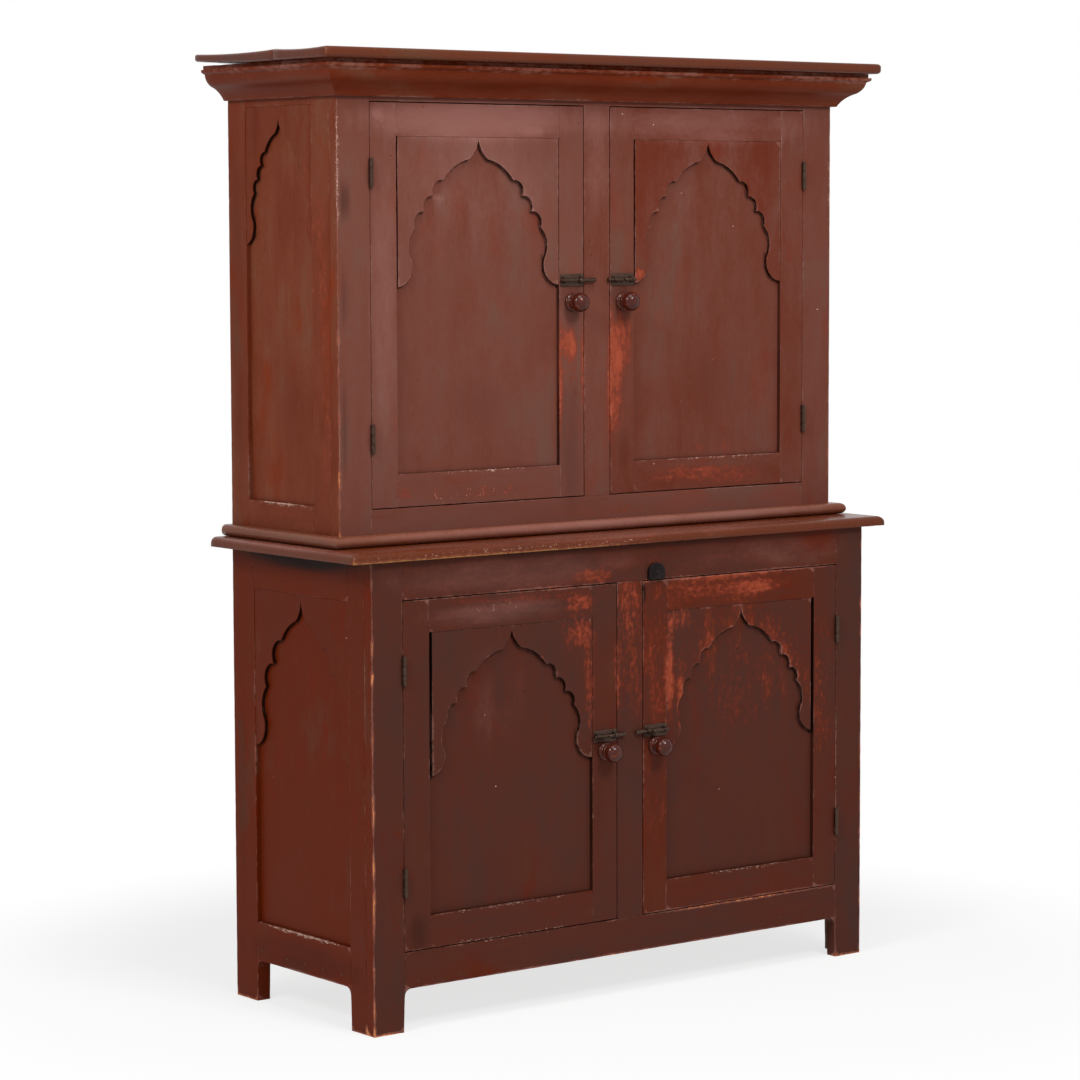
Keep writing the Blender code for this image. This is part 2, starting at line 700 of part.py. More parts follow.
def bolt_set(name, face, door, side, height, reach):
    """A sliding bolt: its plate with two guides on the door, and the bolt in them."""
    edge = door.left if side > 0 else door.right

    def across(start, end):
        """A span across the door from two distances in from its free edge."""
        ends = (edge + side * start, edge + side * end)
        return (min(ends), max(ends))

    def up(half):
        """A span up the door from half its height."""
        return (height - half, height + half)

    half_bolt = BOLT_HEIGHT / 2
    half_channel = half_bolt + FIT_GAP
    plate_front = -FIT_GAP - PLATE_THICK
    bolt_back = plate_front - FIT_GAP
    bolt_front = bolt_back - BOLT_THICK
    channel_front = bolt_front - FIT_GAP
    guide_front = channel_front - GUIDE_WALL
    first = GUIDE_INSET + PLATE_INSET
    last = DOOR_STILE - first
    plate_span = across(PLATE_INSET, DOOR_STILE - PLATE_INSET)
    plate_box = (plate_span, up(PLATE_HEIGHT / 2), (plate_front, -FIT_GAP))
    plate = blocks(f"{name}_bolt_plate", face, [plate_box], "wrought_iron")
    guide_boxes = [
        (across(start, start + GUIDE_WIDTH), up(half_channel + GUIDE_WALL), (guide_front, plate_front / 2))
        for start in (first, last - GUIDE_WIDTH)
    ]
    guides = blocks(f"{name}_bolt_guides", face, guide_boxes)
    channel_span = across(first - CUT_OVERRUN, last + CUT_OVERRUN)
    channel_box = (channel_span, up(half_channel), (channel_front, plate_front))
    boolean(guides, blocks(f"{name}_bolt_channel", face, [channel_box]), "DIFFERENCE")
    boolean(plate, guides, "UNION")
    bolt_box = (across(-reach, last + BOLT_TAIL), up(half_bolt), (bolt_front, bolt_back))
    bolt = blocks(f"{name}_bolt", face, [bolt_box], "wrought_iron")
    thumb_at = last - GUIDE_WIDTH - THUMB_RADIUS - 2 * BOLT_CLEAR - reach
    place = Matrix.Translation((edge + side * thumb_at, height, bolt_front + BOLT_THICK / 2))
    tip = -THUMB_REACH - BOLT_THICK / 2
    profile = [(0, 0), (THUMB_RADIUS, 0), (THUMB_RADIUS, tip), (0, tip)]
    thumb = turned(f"{name}_bolt_thumb", face @ place, profile, False, BARREL_STEPS)
    boolean(bolt, thumb, "UNION")
    return plate, bolt, face @ Vector((edge, height, bolt_front))


def door(case: str, side_name: str, face: Matrix) -> None:
    """One door with its panel, fret, knob and bolt, on the empty that stands on its hinges' axis."""
    name = f"{case}_{side_name}"
    side = -1 if side_name == "left" else 1
    opening = door_openings(case)[side_name]
    leaf = opening.grown(-DOOR_GAP)
    window = Rect(
        leaf.left + DOOR_STILE, leaf.right - DOOR_STILE, leaf.bottom + DOOR_RAIL, leaf.top - DOOR_RAIL
    )
    hinge_side = leaf.left if side < 0 else leaf.right
    case_side = opening.left if side < 0 else opening.right
    axis = face @ Vector(((hinge_side + case_side) / 2, 0, -KNUCKLE_OUT))
    carrier = empty_at(f"{name}_door_hinges", Vector((axis.x, axis.y, leaf.bottom)))
    outlines = [leaf.corners(), window.corners()]
    frame = slab(f"{name}_door_frame", face, outlines, (0, DOOR_THICK), "painted_pine")
    cuts = [panel_rebate(window, DOOR_THICK), *hinge_pockets(opening, hinge_side, -side)]
    boolean(frame, blocks(f"{name}_door_cuts", face, cuts), "DIFFERENCE")
    panel = blocks(f"{name}_door_panel", face, [panel_board(window)], "painted_pine")
    fret_height = LOWER_DOOR_FRET if case == "lower" else UPPER_DOOR_FRET
    bridge = LOWER_FRET_BRIDGE if case == "lower" else DOOR_FRET_BRIDGE
    shape = arch_outline(window.grown(-FIT_GAP), fret_height, bridge, 3)
    fret_depth = (FRET_SETBACK, FRET_SETBACK + FRET_THICK)
    fret = slab(f"{name}_door_fret", face, [shape], fret_depth, "painted_pine")
    middle = leaf.middle()[1]
    stile_middle = (leaf.left if side > 0 else leaf.right) + side * DOOR_STILE / 2
    knob_rise = LOWER_KNOB_RISE if case == "lower" else 0
    outward = Matrix.Rotation(math.pi / 2, 4, "X")
    knob_at = Matrix.Translation(face @ Vector((stile_middle, middle + knob_rise, 0))) @ outward
    handle = knob(f"{name}_door_knob", knob_at)
    rise = LOWER_BOLT_RISE if case == "lower" else BOLT_RISE
    plate, bolt, bolt_tip = bolt_set(name, face, leaf, side, middle + rise, BOLT_REACHES[name])
    for piece in (frame, panel, fret, handle, plate):
        ride(piece, carrier)
    slide = empty_at(f"{name}_bolt_slide", bolt_tip, carrier)
    ride(bolt, slide)
    for place, height in zip(("bottom", "top"), hinge_heights(opening)):
        hinge = f"{name}_{place}_hinge"
        hinge_leaf(f"{hinge}_case_leaf", face, case_side, side, height, axis, "ends")
        moving = hinge_leaf(f"{hinge}_door_leaf", face, hinge_side, -side, height, axis, "middle")
        ride(moving, carrier)


def turn_button() -> None:
    """The turn button on the lower case's top rail, over the right door's free corner."""
    height = door_openings("lower")["right"].top - DOOR_GAP + BUTTON_PIVOT_ABOVE_DOOR
    half = BUTTON_WIDTH / 2
    left, right = BUTTON_PIVOT_ACROSS - half, BUTTON_PIVOT_ACROSS + half
    dome = (BUTTON_RISE + BUTTON_DROP) / 2
    shoulder = height + BUTTON_RISE - dome
    crown = (BUTTON_PIVOT_ACROSS, height + BUTTON_RISE)
    outline = [(left, height - BUTTON_DROP), (right, height - BUTTON_DROP), (right, shoulder)]
    outline += arc(outline[-1], crown, QUARTER_RISE_SHARE)
    outline += arc(outline[-1], (left, shoulder), QUARTER_RISE_SHARE)
    back = -FIT_GAP
    front = back - BUTTON_THICK
    button = slab("turn_button", LOWER_FRONT, [outline], (front, back), "slate_button")
    pivot = LOWER_FRONT @ Vector((BUTTON_PIVOT_ACROSS, height, 0))
    nail = turned(
        "turn_button_nail",
        Matrix.Translation(pivot) @ Matrix.Rotation(math.pi / 2, 4, "X"),
        [
            (0, -back + BUTTON_THICK / 2),
            (BUTTON_NAIL_RADIUS, -back + BUTTON_THICK / 2),
            (BUTTON_NAIL_RADIUS, -front + BUTTON_NAIL_REACH / 2),
            (BUTTON_NAIL_RADIUS / 2, -front + BUTTON_NAIL_REACH),
            (0, -front + BUTTON_NAIL_REACH),
        ],
        False,
        BARREL_STEPS,
    )
    boolean(button, nail, "UNION")
    ride(button, empty_at("turn_button_pivot", pivot))


def build() -> None:
    """Builds the whole cupboard."""
    for case, face in (("lower", LOWER_FRONT), ("upper", UPPER_FRONT)):
        face_frame(case, face)
        side_frames(case)
        for side in ("left", "right"):
            door(case, side, face)
    tops_and_mouldings()
    inner_boards()
    turn_button()


build()
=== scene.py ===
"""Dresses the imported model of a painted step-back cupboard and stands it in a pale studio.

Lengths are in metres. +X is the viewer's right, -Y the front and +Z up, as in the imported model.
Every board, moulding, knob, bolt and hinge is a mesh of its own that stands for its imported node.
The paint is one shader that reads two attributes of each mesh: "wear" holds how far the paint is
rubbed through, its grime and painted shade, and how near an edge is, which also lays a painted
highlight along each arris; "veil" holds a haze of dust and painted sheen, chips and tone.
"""

import logging
import math
import random
from dataclasses import dataclass, field
from enum import Enum

import bmesh
import bpy
from mathutils import Matrix, Vector, kdtree, noise


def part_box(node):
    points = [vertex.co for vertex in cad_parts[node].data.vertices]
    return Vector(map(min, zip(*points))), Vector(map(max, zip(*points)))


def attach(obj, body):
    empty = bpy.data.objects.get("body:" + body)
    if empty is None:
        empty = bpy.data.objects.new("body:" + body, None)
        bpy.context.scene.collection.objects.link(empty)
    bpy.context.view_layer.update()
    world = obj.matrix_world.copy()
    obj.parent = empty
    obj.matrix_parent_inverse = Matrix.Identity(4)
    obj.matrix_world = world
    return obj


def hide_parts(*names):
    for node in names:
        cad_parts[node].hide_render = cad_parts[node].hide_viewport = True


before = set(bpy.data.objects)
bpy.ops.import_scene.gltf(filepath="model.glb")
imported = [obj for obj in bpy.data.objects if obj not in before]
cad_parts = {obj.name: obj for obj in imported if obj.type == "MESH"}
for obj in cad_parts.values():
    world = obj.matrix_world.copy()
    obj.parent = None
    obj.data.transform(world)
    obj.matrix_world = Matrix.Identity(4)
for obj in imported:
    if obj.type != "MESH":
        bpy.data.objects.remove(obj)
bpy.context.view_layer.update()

LOG = logging.getLogger("cupboard")

# Types that the hints name often
BMesh = bmesh.types.BMesh
Tree = bpy.types.NodeTree
Socket = bpy.types.NodeSocket
Triple = tuple[float, float, float]

# Distances that the whole script shares: the joints' play, the doors' gaps, half a case's width,
# the doors' stiles, how deep frets and panels lie behind a frame's face, and how thick they are.
FIT_GAP = 0.0003
DOOR_GAP = 0.002
CASE_HALF = 0.630
DOOR_STILE = 0.061
FRET_SETBACK = 0.001
FRET_THICK = 0.008
PANEL_FACE = 0.0093
PANEL_THICK = 0.010
TINY = 1e-6

# Where a turn counts as sharp, and the rise of a quarter circle as a share of its chord
SHARP_ANGLE = math.radians(30)
QUARTER_RISE = math.tan(math.pi / 8) / 2
# How squarely a face has to look some way, as a cosine, to count as the face on that side, and
# how much has to be left of that for it to count as an end
SQUARE_ON, END_ON = 0.9, 0.3

# How far from an edge its wear reaches, and the most that wear, dirt and painted shade add up to,
# which is also the painted shadow laid in a dark gap
EDGE_REACH = 0.012
MOST_WEAR_AND_SHADE = 1.2
# How fast a patch of wear fades, and how many of its reaches from the middle it is gone
PATCH_FADE, PATCH_END = 1.5, 2
# Where the painted shade on a board's edge starts behind its face, and where it is cut for that, in arrises
SHADE_START, SHADE_CUT = 2.0, 2.2
# The painted shade in the corner under a fret, and how far it reaches
CREVICE_SHADE, CREVICE_REACH = 0.8, 0.006

# The colour sockets of a Mix node, which share their names with its other sockets
UNDER, OVER, MIXED = 6, 7, 2
WHITE = (1, 1, 1, 1)


class Grain(Enum):
    """The axis that a board's grain runs along."""

    ALONG_X = 0
    ALONG_Y = 1
    ALONG_Z = 2


class Wear(Enum):
    """What age has done to a spot, and the light and shade painted on it, as the attribute and the channel
    that hold it.
    """

    RUB = ("wear", 0)
    # Grime, and painted shade in gaps, corners and under overhangs
    GRIME = ("wear", 1)
    EDGE = ("wear", 2)
    # Pale haze: dust, and painted sheen where light would gleam on the paint
    HAZE = ("veil", 0)
    CHIP = ("veil", 1)


class Side(Enum):
    """The left or the right of the cupboard, with its sign along X."""

    LEFT = -1
    RIGHT = 1

    @property
    def word(self) -> str:
        """The side's name in the names of nodes."""
        return self.name.lower()


class Facing(Enum):
    """The way that a turned part looks from its seat, as quarter turns about an axis."""

    UP = (0, "X")
    FRONT = (1, "X")
    RIGHT = (1, "Y")
    LEFT = (-1, "Y")

    def at(self, place: tuple) -> Matrix:
        """Where a part that was turned upright goes, to stand on a place and look this way."""
        quarters, axis = self.value
        return Matrix.Translation(place) @ Matrix.Rotation(quarters * math.pi / 2, 4, axis)


# Finishes


def linear(colour: str) -> tuple[float, float, float, float]:
    """Turns an sRGB hex colour to the linear values that a shader takes.

    Args:
        colour: the colour, such as "#7d4b42".

    Returns:
        Linear red, green and blue, with an alpha of 1.
    """
    parts = [int(colour[start : start + 2], 16) / 255 for start in (1, 3, 5)]
    bent = [part / 12.92 if part <= 0.04045 else ((part + 0.055) / 1.055) ** 2.4 for part in parts]
    return (bent[0], bent[1], bent[2], 1.0)


def feed(tree: Tree, node: bpy.types.Node, inputs: dict) -> None:
    """Links or sets some inputs of a node.

    Args:
        tree: the tree that the node is in.
        node: the node.
        inputs: for a socket's number or name, another socket to link or a value to set.
    """
    for key, value in inputs.items():
        if isinstance(value, Socket):
            tree.links.new(value, node.inputs[key])
        else:
            node.inputs[key].default_value = value


def add_node(tree: Tree, kind: str, inputs: dict, output: int | str = 0, **settings) -> Socket:
    """Adds a node to a tree with its settings and links.

    Args:
        tree: the material's or world's node tree.
        kind: the node's type, after its common first word.
        inputs: for a socket's number or name, another socket to link or a value to set.
        output: the number or name of the output to hand back.
        settings: the node's own properties.

    Returns:
        The output socket asked for.
    """
    made = tree.nodes.new(f"ShaderNode{kind}")
    for name, value in settings.items():
        setattr(made, name, value)
    feed(tree, made, inputs)
    return made.outputs[output]


def new_material(name: str) -> tuple[bpy.types.Material, Tree, bpy.types.Node]:
    """Makes a material with a Principled shader.

    Args:
        name: the substance's name.

    Returns:
        The material, its node tree and its shader node.
    """
    material = bpy.data.materials.new(name)
    material.use_nodes = True
    return material, material.node_tree, material.node_tree.nodes["Principled BSDF"]


def stretched(grain: Grain, across: float, along: float) -> Triple:
    """The scale of a pattern that is longer along the grain than across it.

    Args:
        grain: the axis of the grain.
        across: marks per metre across the grain.
        along: marks per metre along the grain.

    Returns:
        The scale along X, Y and Z.
    """
    scale = [across] * 3
    scale[grain.value] = along
    return (scale[0], scale[1], scale[2])


def board_place(tree: Tree, steps: Triple, tone: Socket) -> Socket:
    """The place on a board, shifted by the board's tone, so that no two boards carry the same grain.

    Args:
        tree: the material's node tree.
        steps: how far a tone of 1 shifts the patterns along each axis, in metres.
        tone: the board's tone.

    Returns:
        The shifted place.
    """
    place = add_node(tree, "TexCoord", {}, "Object")
    shift = add_node(tree, "VectorMath", {0: steps, "Scale": tone}, operation="SCALE")
    return add_node(tree, "VectorMath", {0: place, 1: shift}, operation="ADD")


@dataclass(frozen=True)
class PaintedPine:
    """Old brown-red oil paint, brushed along the grain over an orange-red undercoat.

    It gives the eye a low, uneven sheen with soft blotches along the grain, orange-red where hands
    rubbed it through, ochre wood and pale chips on the edges, and grey-brown haze and grime. It also
    paints light: a pale highlight along every arris, sheen in the haze, and shade in gaps and corners.
    """

    grain: Grain
    name: str = "painted_pine"
    dark: str = "#402d28"
    middle: str = "#602008"
    light: str = "#6f443a"
    undercoat: str = "#a24b33"
    undercoat_dark: str = "#742b19"
    bare: str = "#c67e52"
    # The grime colour also paints shade: in gaps, in corners, on walls behind a face and under the counter
    grime: str = "#190d08"
    # The haze colour is dust, and painted sheen
    haze: str = "#9c6a62"
    # The rim colour paints a highlight: a thin pale line along every arris
    rim: str = "#b98a7e"
    chip: str = "#cfae9f"
    roughness: float = 0.42
    specular: float = 0.05
    relief: float = 0.5
    fleck_cell: float = 0.028
    fleck_size: float = 0.0016

    # Each pattern is a noise with its marks per metre across and along the grain, and its detail.
    patterns: tuple = (
        ("brush", 420, 12, 3),  # brush lines 2.4 mm apart, coarser than real hairs so they show
        ("streak", 45, 5, 4),  # streaks 22 mm wide and 0.2 m long
        ("grit", 480, 380, 2),  # grit of 2 mm
        ("cloud", 7, 3.2, 3),  # patches of 140 by 300 mm
        ("drift", 19, 8, 4),  # patches of 50 by 125 mm
        ("flake", 120, 75, 5),  # flakes of 8 by 13 mm
    )
    # Each mask starts from a source, adds the first three patterns and the last three, each by its
    # weight, and rises softly from nothing to its top between two values.
    masks: tuple = (
        ("mood", "tone", (0.06, 0.12, 0.04), (0.26, 0.20, 0.13), 0.0, 0.5, 1.0),
        ("lift", "tone", (0.06, 0.12, 0.04), (0.26, 0.20, 0.13), 0.5, 1.0, 1.0),
        ("dull", "half", (0.0, 0.4, 0.1), (1.6, 1.4, 0.5), 0.52, 1.05, 0.70),
        ("warm", "half", (0.0, 0.3, 0.0), (1.3, -1.7, 0.5), 0.56, 1.10, 0.75),
        ("spatter", "half", (0.0, 0.0, 0.7), (0.7, 0.9, 1.7), 0.98, 1.16, 0.45),
        # Pale haze: dust, and painted sheen
        ("dusty", "haze", (0.05, 0.2, 0.1), (0.5, 0.6, 0.25), 0.0, 1.1, 0.55),
        ("rubbed", "rub", (0.4, 1.1, 0.5), (0.6, 1.4, 1.6), 0.16, 1.05, 0.84),
        # Grime, and the painted shade that the grime channel carries
        ("dirty", "grime", (0.0, 0.3, 0.0), (0.0, 0.3, 0.15), 0.05, 0.95, 0.95),
        # A painted highlight: a thin pale line along every arris
        ("rimmed", "edge", (0.0, 0.0, 0.2), (0.2, 0.7, 0.6), 0.66, 0.92, 0.34),
        ("worn", "edge", (0.0, 0.0, 0.5), (0.0, 0.5, 0.9), 0.84, 0.95, 0.90),
        ("bared", "edge", (0.0, 0.0, 0.5), (0.0, 0.5, 0.9), 1.0, 1.10, 1.0),
        ("chipped", "chip", (0.0, 0.0, 2.0), (0.0, 0.0, 1.4), 0.80, 0.92, 0.80),
        ("ruddy", "rub", (0.3, 1.0, 0.5), (0.0, 0.6, 1.8), 0.25, 1.35, 1.0),
        ("gloss", "half", (0.0, 0.0, 0.1), (0.4, 0.2, 0.5), 0.0, 1.0, 1.0),
    )
    # Where these attributes are nothing, their masks are nothing too: the mask, its attribute, the step.
    gates: tuple = (
        ("dusty", "haze", 0.0, 0.10),
        ("rubbed", "rub", 0.02, 0.16),
        ("worn", "edge", 0.50, 0.70),
        ("bared", "edge", 0.60, 0.80),
        ("chipped", "chip", 0.02, 0.10),
    )
    # Flecks a millimetre or two across: the mask, the random channel it draws from, the share without.
    flecks: tuple = (("pale_fleck", 0, 0.94), ("orange_fleck", 1, 0.92), ("dark_fleck", 2, 0.92))
    # The paint drifts to a duller, greyer brown in places, and to a warmer red in others: the coat,
    # its hue, its saturation and its value.
    drifts: tuple = (("dull_paint", 0.512, 0.88, 0.84), ("warm_paint", 0.496, 1.10, 1.18))
    # The coats that lie over each other, from the paint to the flecks: the mask and the colour.
    coats: tuple = (
        ("dull", "dull_paint"), ("warm", "warm_paint"), ("spatter", "under"), ("dusty", "haze"),
        ("rubbed", "under"), ("dirty", "grime"), ("rimmed", "rim"), ("worn", "under"), ("bared", "bare"),
        ("chipped", "chip"), ("pale_fleck", "chip"), ("orange_fleck", "undercoat"), ("dark_fleck", "grime"),
    )

    def sources(self, tree: Tree) -> dict[str, Socket | float]:
        """Adds the attributes and the patterns.

        Args:
            tree: the material's node tree.

        Returns:
            The attributes' channels by name, and two vectors of three patterns each.
        """
        made = {"half": 0.5}
        for attribute, names in (("wear", ("rub", "grime", "edge")), ("veil", ("haze", "chip", "tone"))):
            colour = add_node(tree, "Attribute", {}, "Color", attribute_name=attribute)
            for channel, name in enumerate(names):
                made[name] = add_node(tree, "SeparateColor", {0: colour}, channel)
        made["place"] = board_place(tree, (37.0, 53.0, 71.0), made["tone"])
        for name, across, along, detail in self.patterns:
            scale = stretched(self.grain, across, along)
            spread = add_node(tree, "Mapping", {"Vector": made["place"], "Scale": scale})
            inputs = {"Vector": spread, "Scale": 1.0, "Detail": detail, "Roughness": 0.6}
            made[name] = add_node(tree, "TexNoise", inputs)
        names = [row[0] for row in self.patterns]
        for vector, three in (("fine", names[:3]), ("broad", names[3:])):
            joined = add_node(tree, "CombineXYZ", {axis: made[name] for axis, name in enumerate(three)})
            inputs = {0: joined, 1: (0.5, 0.5, 0.5)}
            made[vector] = add_node(tree, "VectorMath", inputs, operation="SUBTRACT")
        return made

    def add_masks(self, tree: Tree, made: dict) -> None:
        """Adds every mask of the tables to the sources, by name.

        Args:
            tree: the material's node tree.
            made: the sockets made so far, by name.
        """
        for name, source, fine, broad, low, high, top in self.masks:
            total = made[source]
            for vector, weights in (("fine", fine), ("broad", broad)):
                inputs = {0: made[vector], 1: weights}
                part = add_node(tree, "VectorMath", inputs, "Value", operation="DOT_PRODUCT")
                total = add_node(tree, "Math", {0: total, 1: part}, operation="ADD")
            inputs = {"Value": total, "From Min": low, "From Max": high, "To Max": top}
            made[name] = add_node(tree, "MapRange", inputs, interpolation_type="SMOOTHSTEP")
        for name, source, low, high in self.gates:
            gate = add_node(tree, "MapRange", {"Value": made[source], "From Min": low, "From Max": high})
            made[name] = add_node(tree, "Math", {0: made[name], 1: gate}, operation="MULTIPLY")

    def add_flecks(self, tree: Tree, made: dict) -> None:
        """Adds a mask for each colour of flecks, which lie in some of the cells of a net.

        Args:
            tree: the material's node tree.
            made: the sockets made so far, by name.
        """
        net = {"Scale": 1 / self.fleck_cell, "Vector": made["place"]}
        distance = add_node(tree, "TexVoronoi", net, "Distance")
        ragged = {0: made["grit"], 1: 0.09, 2: distance}
        ragged = add_node(tree, "Math", ragged, operation="MULTIPLY_ADD")
        size, middle = self.fleck_size / self.fleck_cell, 0.045  # the middle of the grit's share
        rim = {"Value": ragged, "From Min": size + middle, "From Max": size * 0.6 + middle}
        inside = add_node(tree, "MapRange", rim)
        for name, channel, rarity in self.flecks:
            chosen = add_node(tree, "SeparateColor", {0: distance.node.outputs["Color"]}, channel)
            chosen = add_node(tree, "Math", {0: chosen, 1: rarity}, operation="GREATER_THAN")
            made[name] = add_node(tree, "Math", {0: chosen, 1: inside}, operation="MULTIPLY")

    def lay_coats(self, tree: Tree, made: dict) -> Socket:
        """Lays the coats of colour over each other, from the paint to the chips and flecks.

        Args:
            tree: the material's node tree.
            made: the sources and the masks by name.

        Returns:
            The colour.
        """
        inks = {name: linear(value) for name, value in vars(self).items() if str(value).startswith("#")}
        for coat, mask, below, above in (
            ("under", "ruddy", "undercoat_dark", "undercoat"),
            ("paint", "mood", "dark", "middle"),
            ("paint", "lift", "paint", "light"),
        ):
            inputs = {0: made[mask], UNDER: inks[below], OVER: inks[above]}
            inks[coat] = add_node(tree, "Mix", inputs, MIXED, data_type="RGBA")
        for coat, hue, saturation, value in self.drifts:
            inputs = {"Color": inks["paint"], "Hue": hue, "Saturation": saturation, "Value": value}
            inks[coat] = add_node(tree, "HueSaturation", inputs)
        colour = inks["paint"]
        for mask, above in self.coats:
            inputs = {0: made[mask], UNDER: colour, OVER: inks[above]}
            colour = add_node(tree, "Mix", inputs, MIXED, data_type="RGBA")
        return colour

    def material(self) -> bpy.types.Material:
        """Builds the shader: its patterns, its masks, its coats of colour, its sheen and its relief.

        Returns:
            The material.
        """
        material, tree, shader = new_material(f"{self.name}_{self.grain.name.lower()}")
        made = self.sources(tree)
        self.add_masks(tree, made)
        self.add_flecks(tree, made)
        weights = {0: made["fine"], 1: (0.26, 0.30, 0.25)}
        relief = add_node(tree, "VectorMath", weights, "Value", operation="DOT_PRODUCT")
        for name, weight in (("flake", 0.5), ("rubbed", -0.2), ("worn", -0.4), ("spatter", -0.1)):
            relief = add_node(tree, "Math", {0: made[name], 1: weight, 2: relief}, operation="MULTIPLY_ADD")
        sheen = {"Value": made["gloss"], "To Min": self.roughness - 0.12, "To Max": self.roughness + 0.2}
        bump = {"Strength": self.relief, "Distance": 0.0007, "Height": relief}
        inputs = {
            "Base Color": self.lay_coats(tree, made),
            "Roughness": add_node(tree, "MapRange", sheen),
            "Specular IOR Level": self.specular,
            "Normal": add_node(tree, "Bump", bump),
        }
        feed(tree, shader, inputs)
        return material


@dataclass(frozen=True)
class AgedPine:
    """Planed pine left bare inside the cases, gone brown and dull over the years.

    It gives the eye a dry, matt ochre-brown with darker lines of late wood along the grain.
    """

    grain: Grain
    early: str = "#a07049"
    late: str = "#7c5232"
    dust: str = "#654632"
    roughness: float = 0.78

    def material(self) -> bpy.types.Material:
        """Builds the shader: late-wood lines, broad stains and a fine relief.

        Returns:
            The material.
        """
        material, tree, shader = new_material(f"aged_pine_{self.grain.name.lower()}")
        veil = add_node(tree, "Attribute", {}, "Color", attribute_name="veil")
        tone = add_node(tree, "SeparateColor", {0: veil}, 2)
        place = board_place(tree, (31.0, 47.0, 59.0), tone)
        colour, masks = linear(self.early), []
        for ink, across, along, detail, low, high in (
            (self.late, 70, 1.6, 7, 0.38, 0.66),  # late-wood lines 14 mm apart
            (self.dust, 12, 4, 4, 0.35, 0.80),  # stains of 80 by 250 mm
        ):
            scale = stretched(self.grain, across, along)
            spread = add_node(tree, "Mapping", {"Vector": place, "Scale": scale})
            pattern = add_node(tree, "TexNoise", {"Vector": spread, "Scale": 1.0, "Detail": detail})
            masks.append(add_node(tree, "MapRange", {"Value": pattern, "From Min": low, "From Max": high}))
            inputs = {0: masks[-1], UNDER: colour, OVER: linear(ink)}
            colour = add_node(tree, "Mix", inputs, MIXED, data_type="RGBA")
        shade = {"Value": tone, "From Min": 0.45, "From Max": 0.55, "To Min": 0.72, "To Max": 1.12}
        shade = add_node(tree, "MapRange", shade)
        bump = {"Strength": 0.5, "Distance": 0.0006, "Height": masks[0]}
        inputs = {
            "Base Color": add_node(tree, "HueSaturation", {"Color": colour, "Value": shade}),
            "Roughness": self.roughness,
            "Normal": add_node(tree, "Bump", bump),
        }
        feed(tree, shader, inputs)
        return material


@dataclass(frozen=True)
class RustedIron:
    """Wrought and pressed iron that has gone dark, with brown-orange rust in patches.

    It gives the eye a broken dull gleam with matt rusty patches.
    """

    bright: str = "#5a4436"
    dark: str = "#1b120e"
    rust: str = "#3f2215"
    roughness: float = 0.34
    rust_roughness: float = 0.85

    def material(self) -> bpy.types.Material:
        """Builds the shader: dark metal, with rust that is neither bright nor smooth.

        Returns:
            The material.
        """
        material, tree, shader = new_material("rusted_iron")
        place = add_node(tree, "TexCoord", {}, "Object")
        # Rust patches of 6 mm, and pitting of 1.5 mm, coarser than real so that it shows.
        patches = add_node(tree, "TexNoise", {"Vector": place, "Scale": 160.0, "Detail": 4.0})
        pits = add_node(tree, "TexNoise", {"Vector": place, "Scale": 650.0, "Detail": 3.0})
        rusty = add_node(tree, "MapRange", {"Value": patches, "From Min": 0.52, "From Max": 0.68})
        colour = linear(self.dark)
        for mask, ink in ((pits, self.bright), (rusty, self.rust)):
            inputs = {0: mask, UNDER: colour, OVER: linear(ink)}
            colour = add_node(tree, "Mix", inputs, MIXED, data_type="RGBA")
        rough = {"Value": rusty, "To Min": self.roughness, "To Max": self.rust_roughness}
        inputs = {
            "Base Color": colour,
            "Metallic": add_node(tree, "MapRange", {"Value": rusty, "To Min": 0.85, "To Max": 0.1}),
            "Roughness": add_node(tree, "MapRange", rough),
            "Normal": add_node(tree, "Bump", {"Strength": 0.5, "Distance": 0.0003, "Height": pits}),
        }
        feed(tree, shader, inputs)
        return material


@dataclass(frozen=True)
class HandledPaint:
    """Turned or sawn hardwood under a coat of old paint that handling has worn in blotches."""

    name: str
    body: str
    worn: str
    blotches: float
    detail: float
    worn_from: float
    worn_to: float
    roughness: float
    specular: float
    relief: float = 0.0

    def material(self) -> bpy.types.Material:
        """Builds the shader: paint with worn blotches, and their relief if there is any.

        Returns:
            The material.
        """
        material, tree, shader = new_material(self.name)
        place = add_node(tree, "TexCoord", {}, "Object")
        pattern = {"Vector": place, "Scale": self.blotches, "Detail": self.detail}
        blotch = add_node(tree, "TexNoise", pattern)
        span = {"Value": blotch, "From Min": self.worn_from, "From Max": self.worn_to}
        mix = {0: add_node(tree, "MapRange", span), UNDER: linear(self.body), OVER: linear(self.worn)}
        inputs = {
            "Base Color": add_node(tree, "Mix", mix, MIXED, data_type="RGBA"),
            "Roughness": self.roughness,
            "Specular IOR Level": self.specular,
        }
        if self.relief:
            bump = {"Strength": self.relief, "Distance": 0.0004, "Height": blotch}
            inputs["Normal"] = add_node(tree, "Bump", bump)
        feed(tree, shader, inputs)
        return material


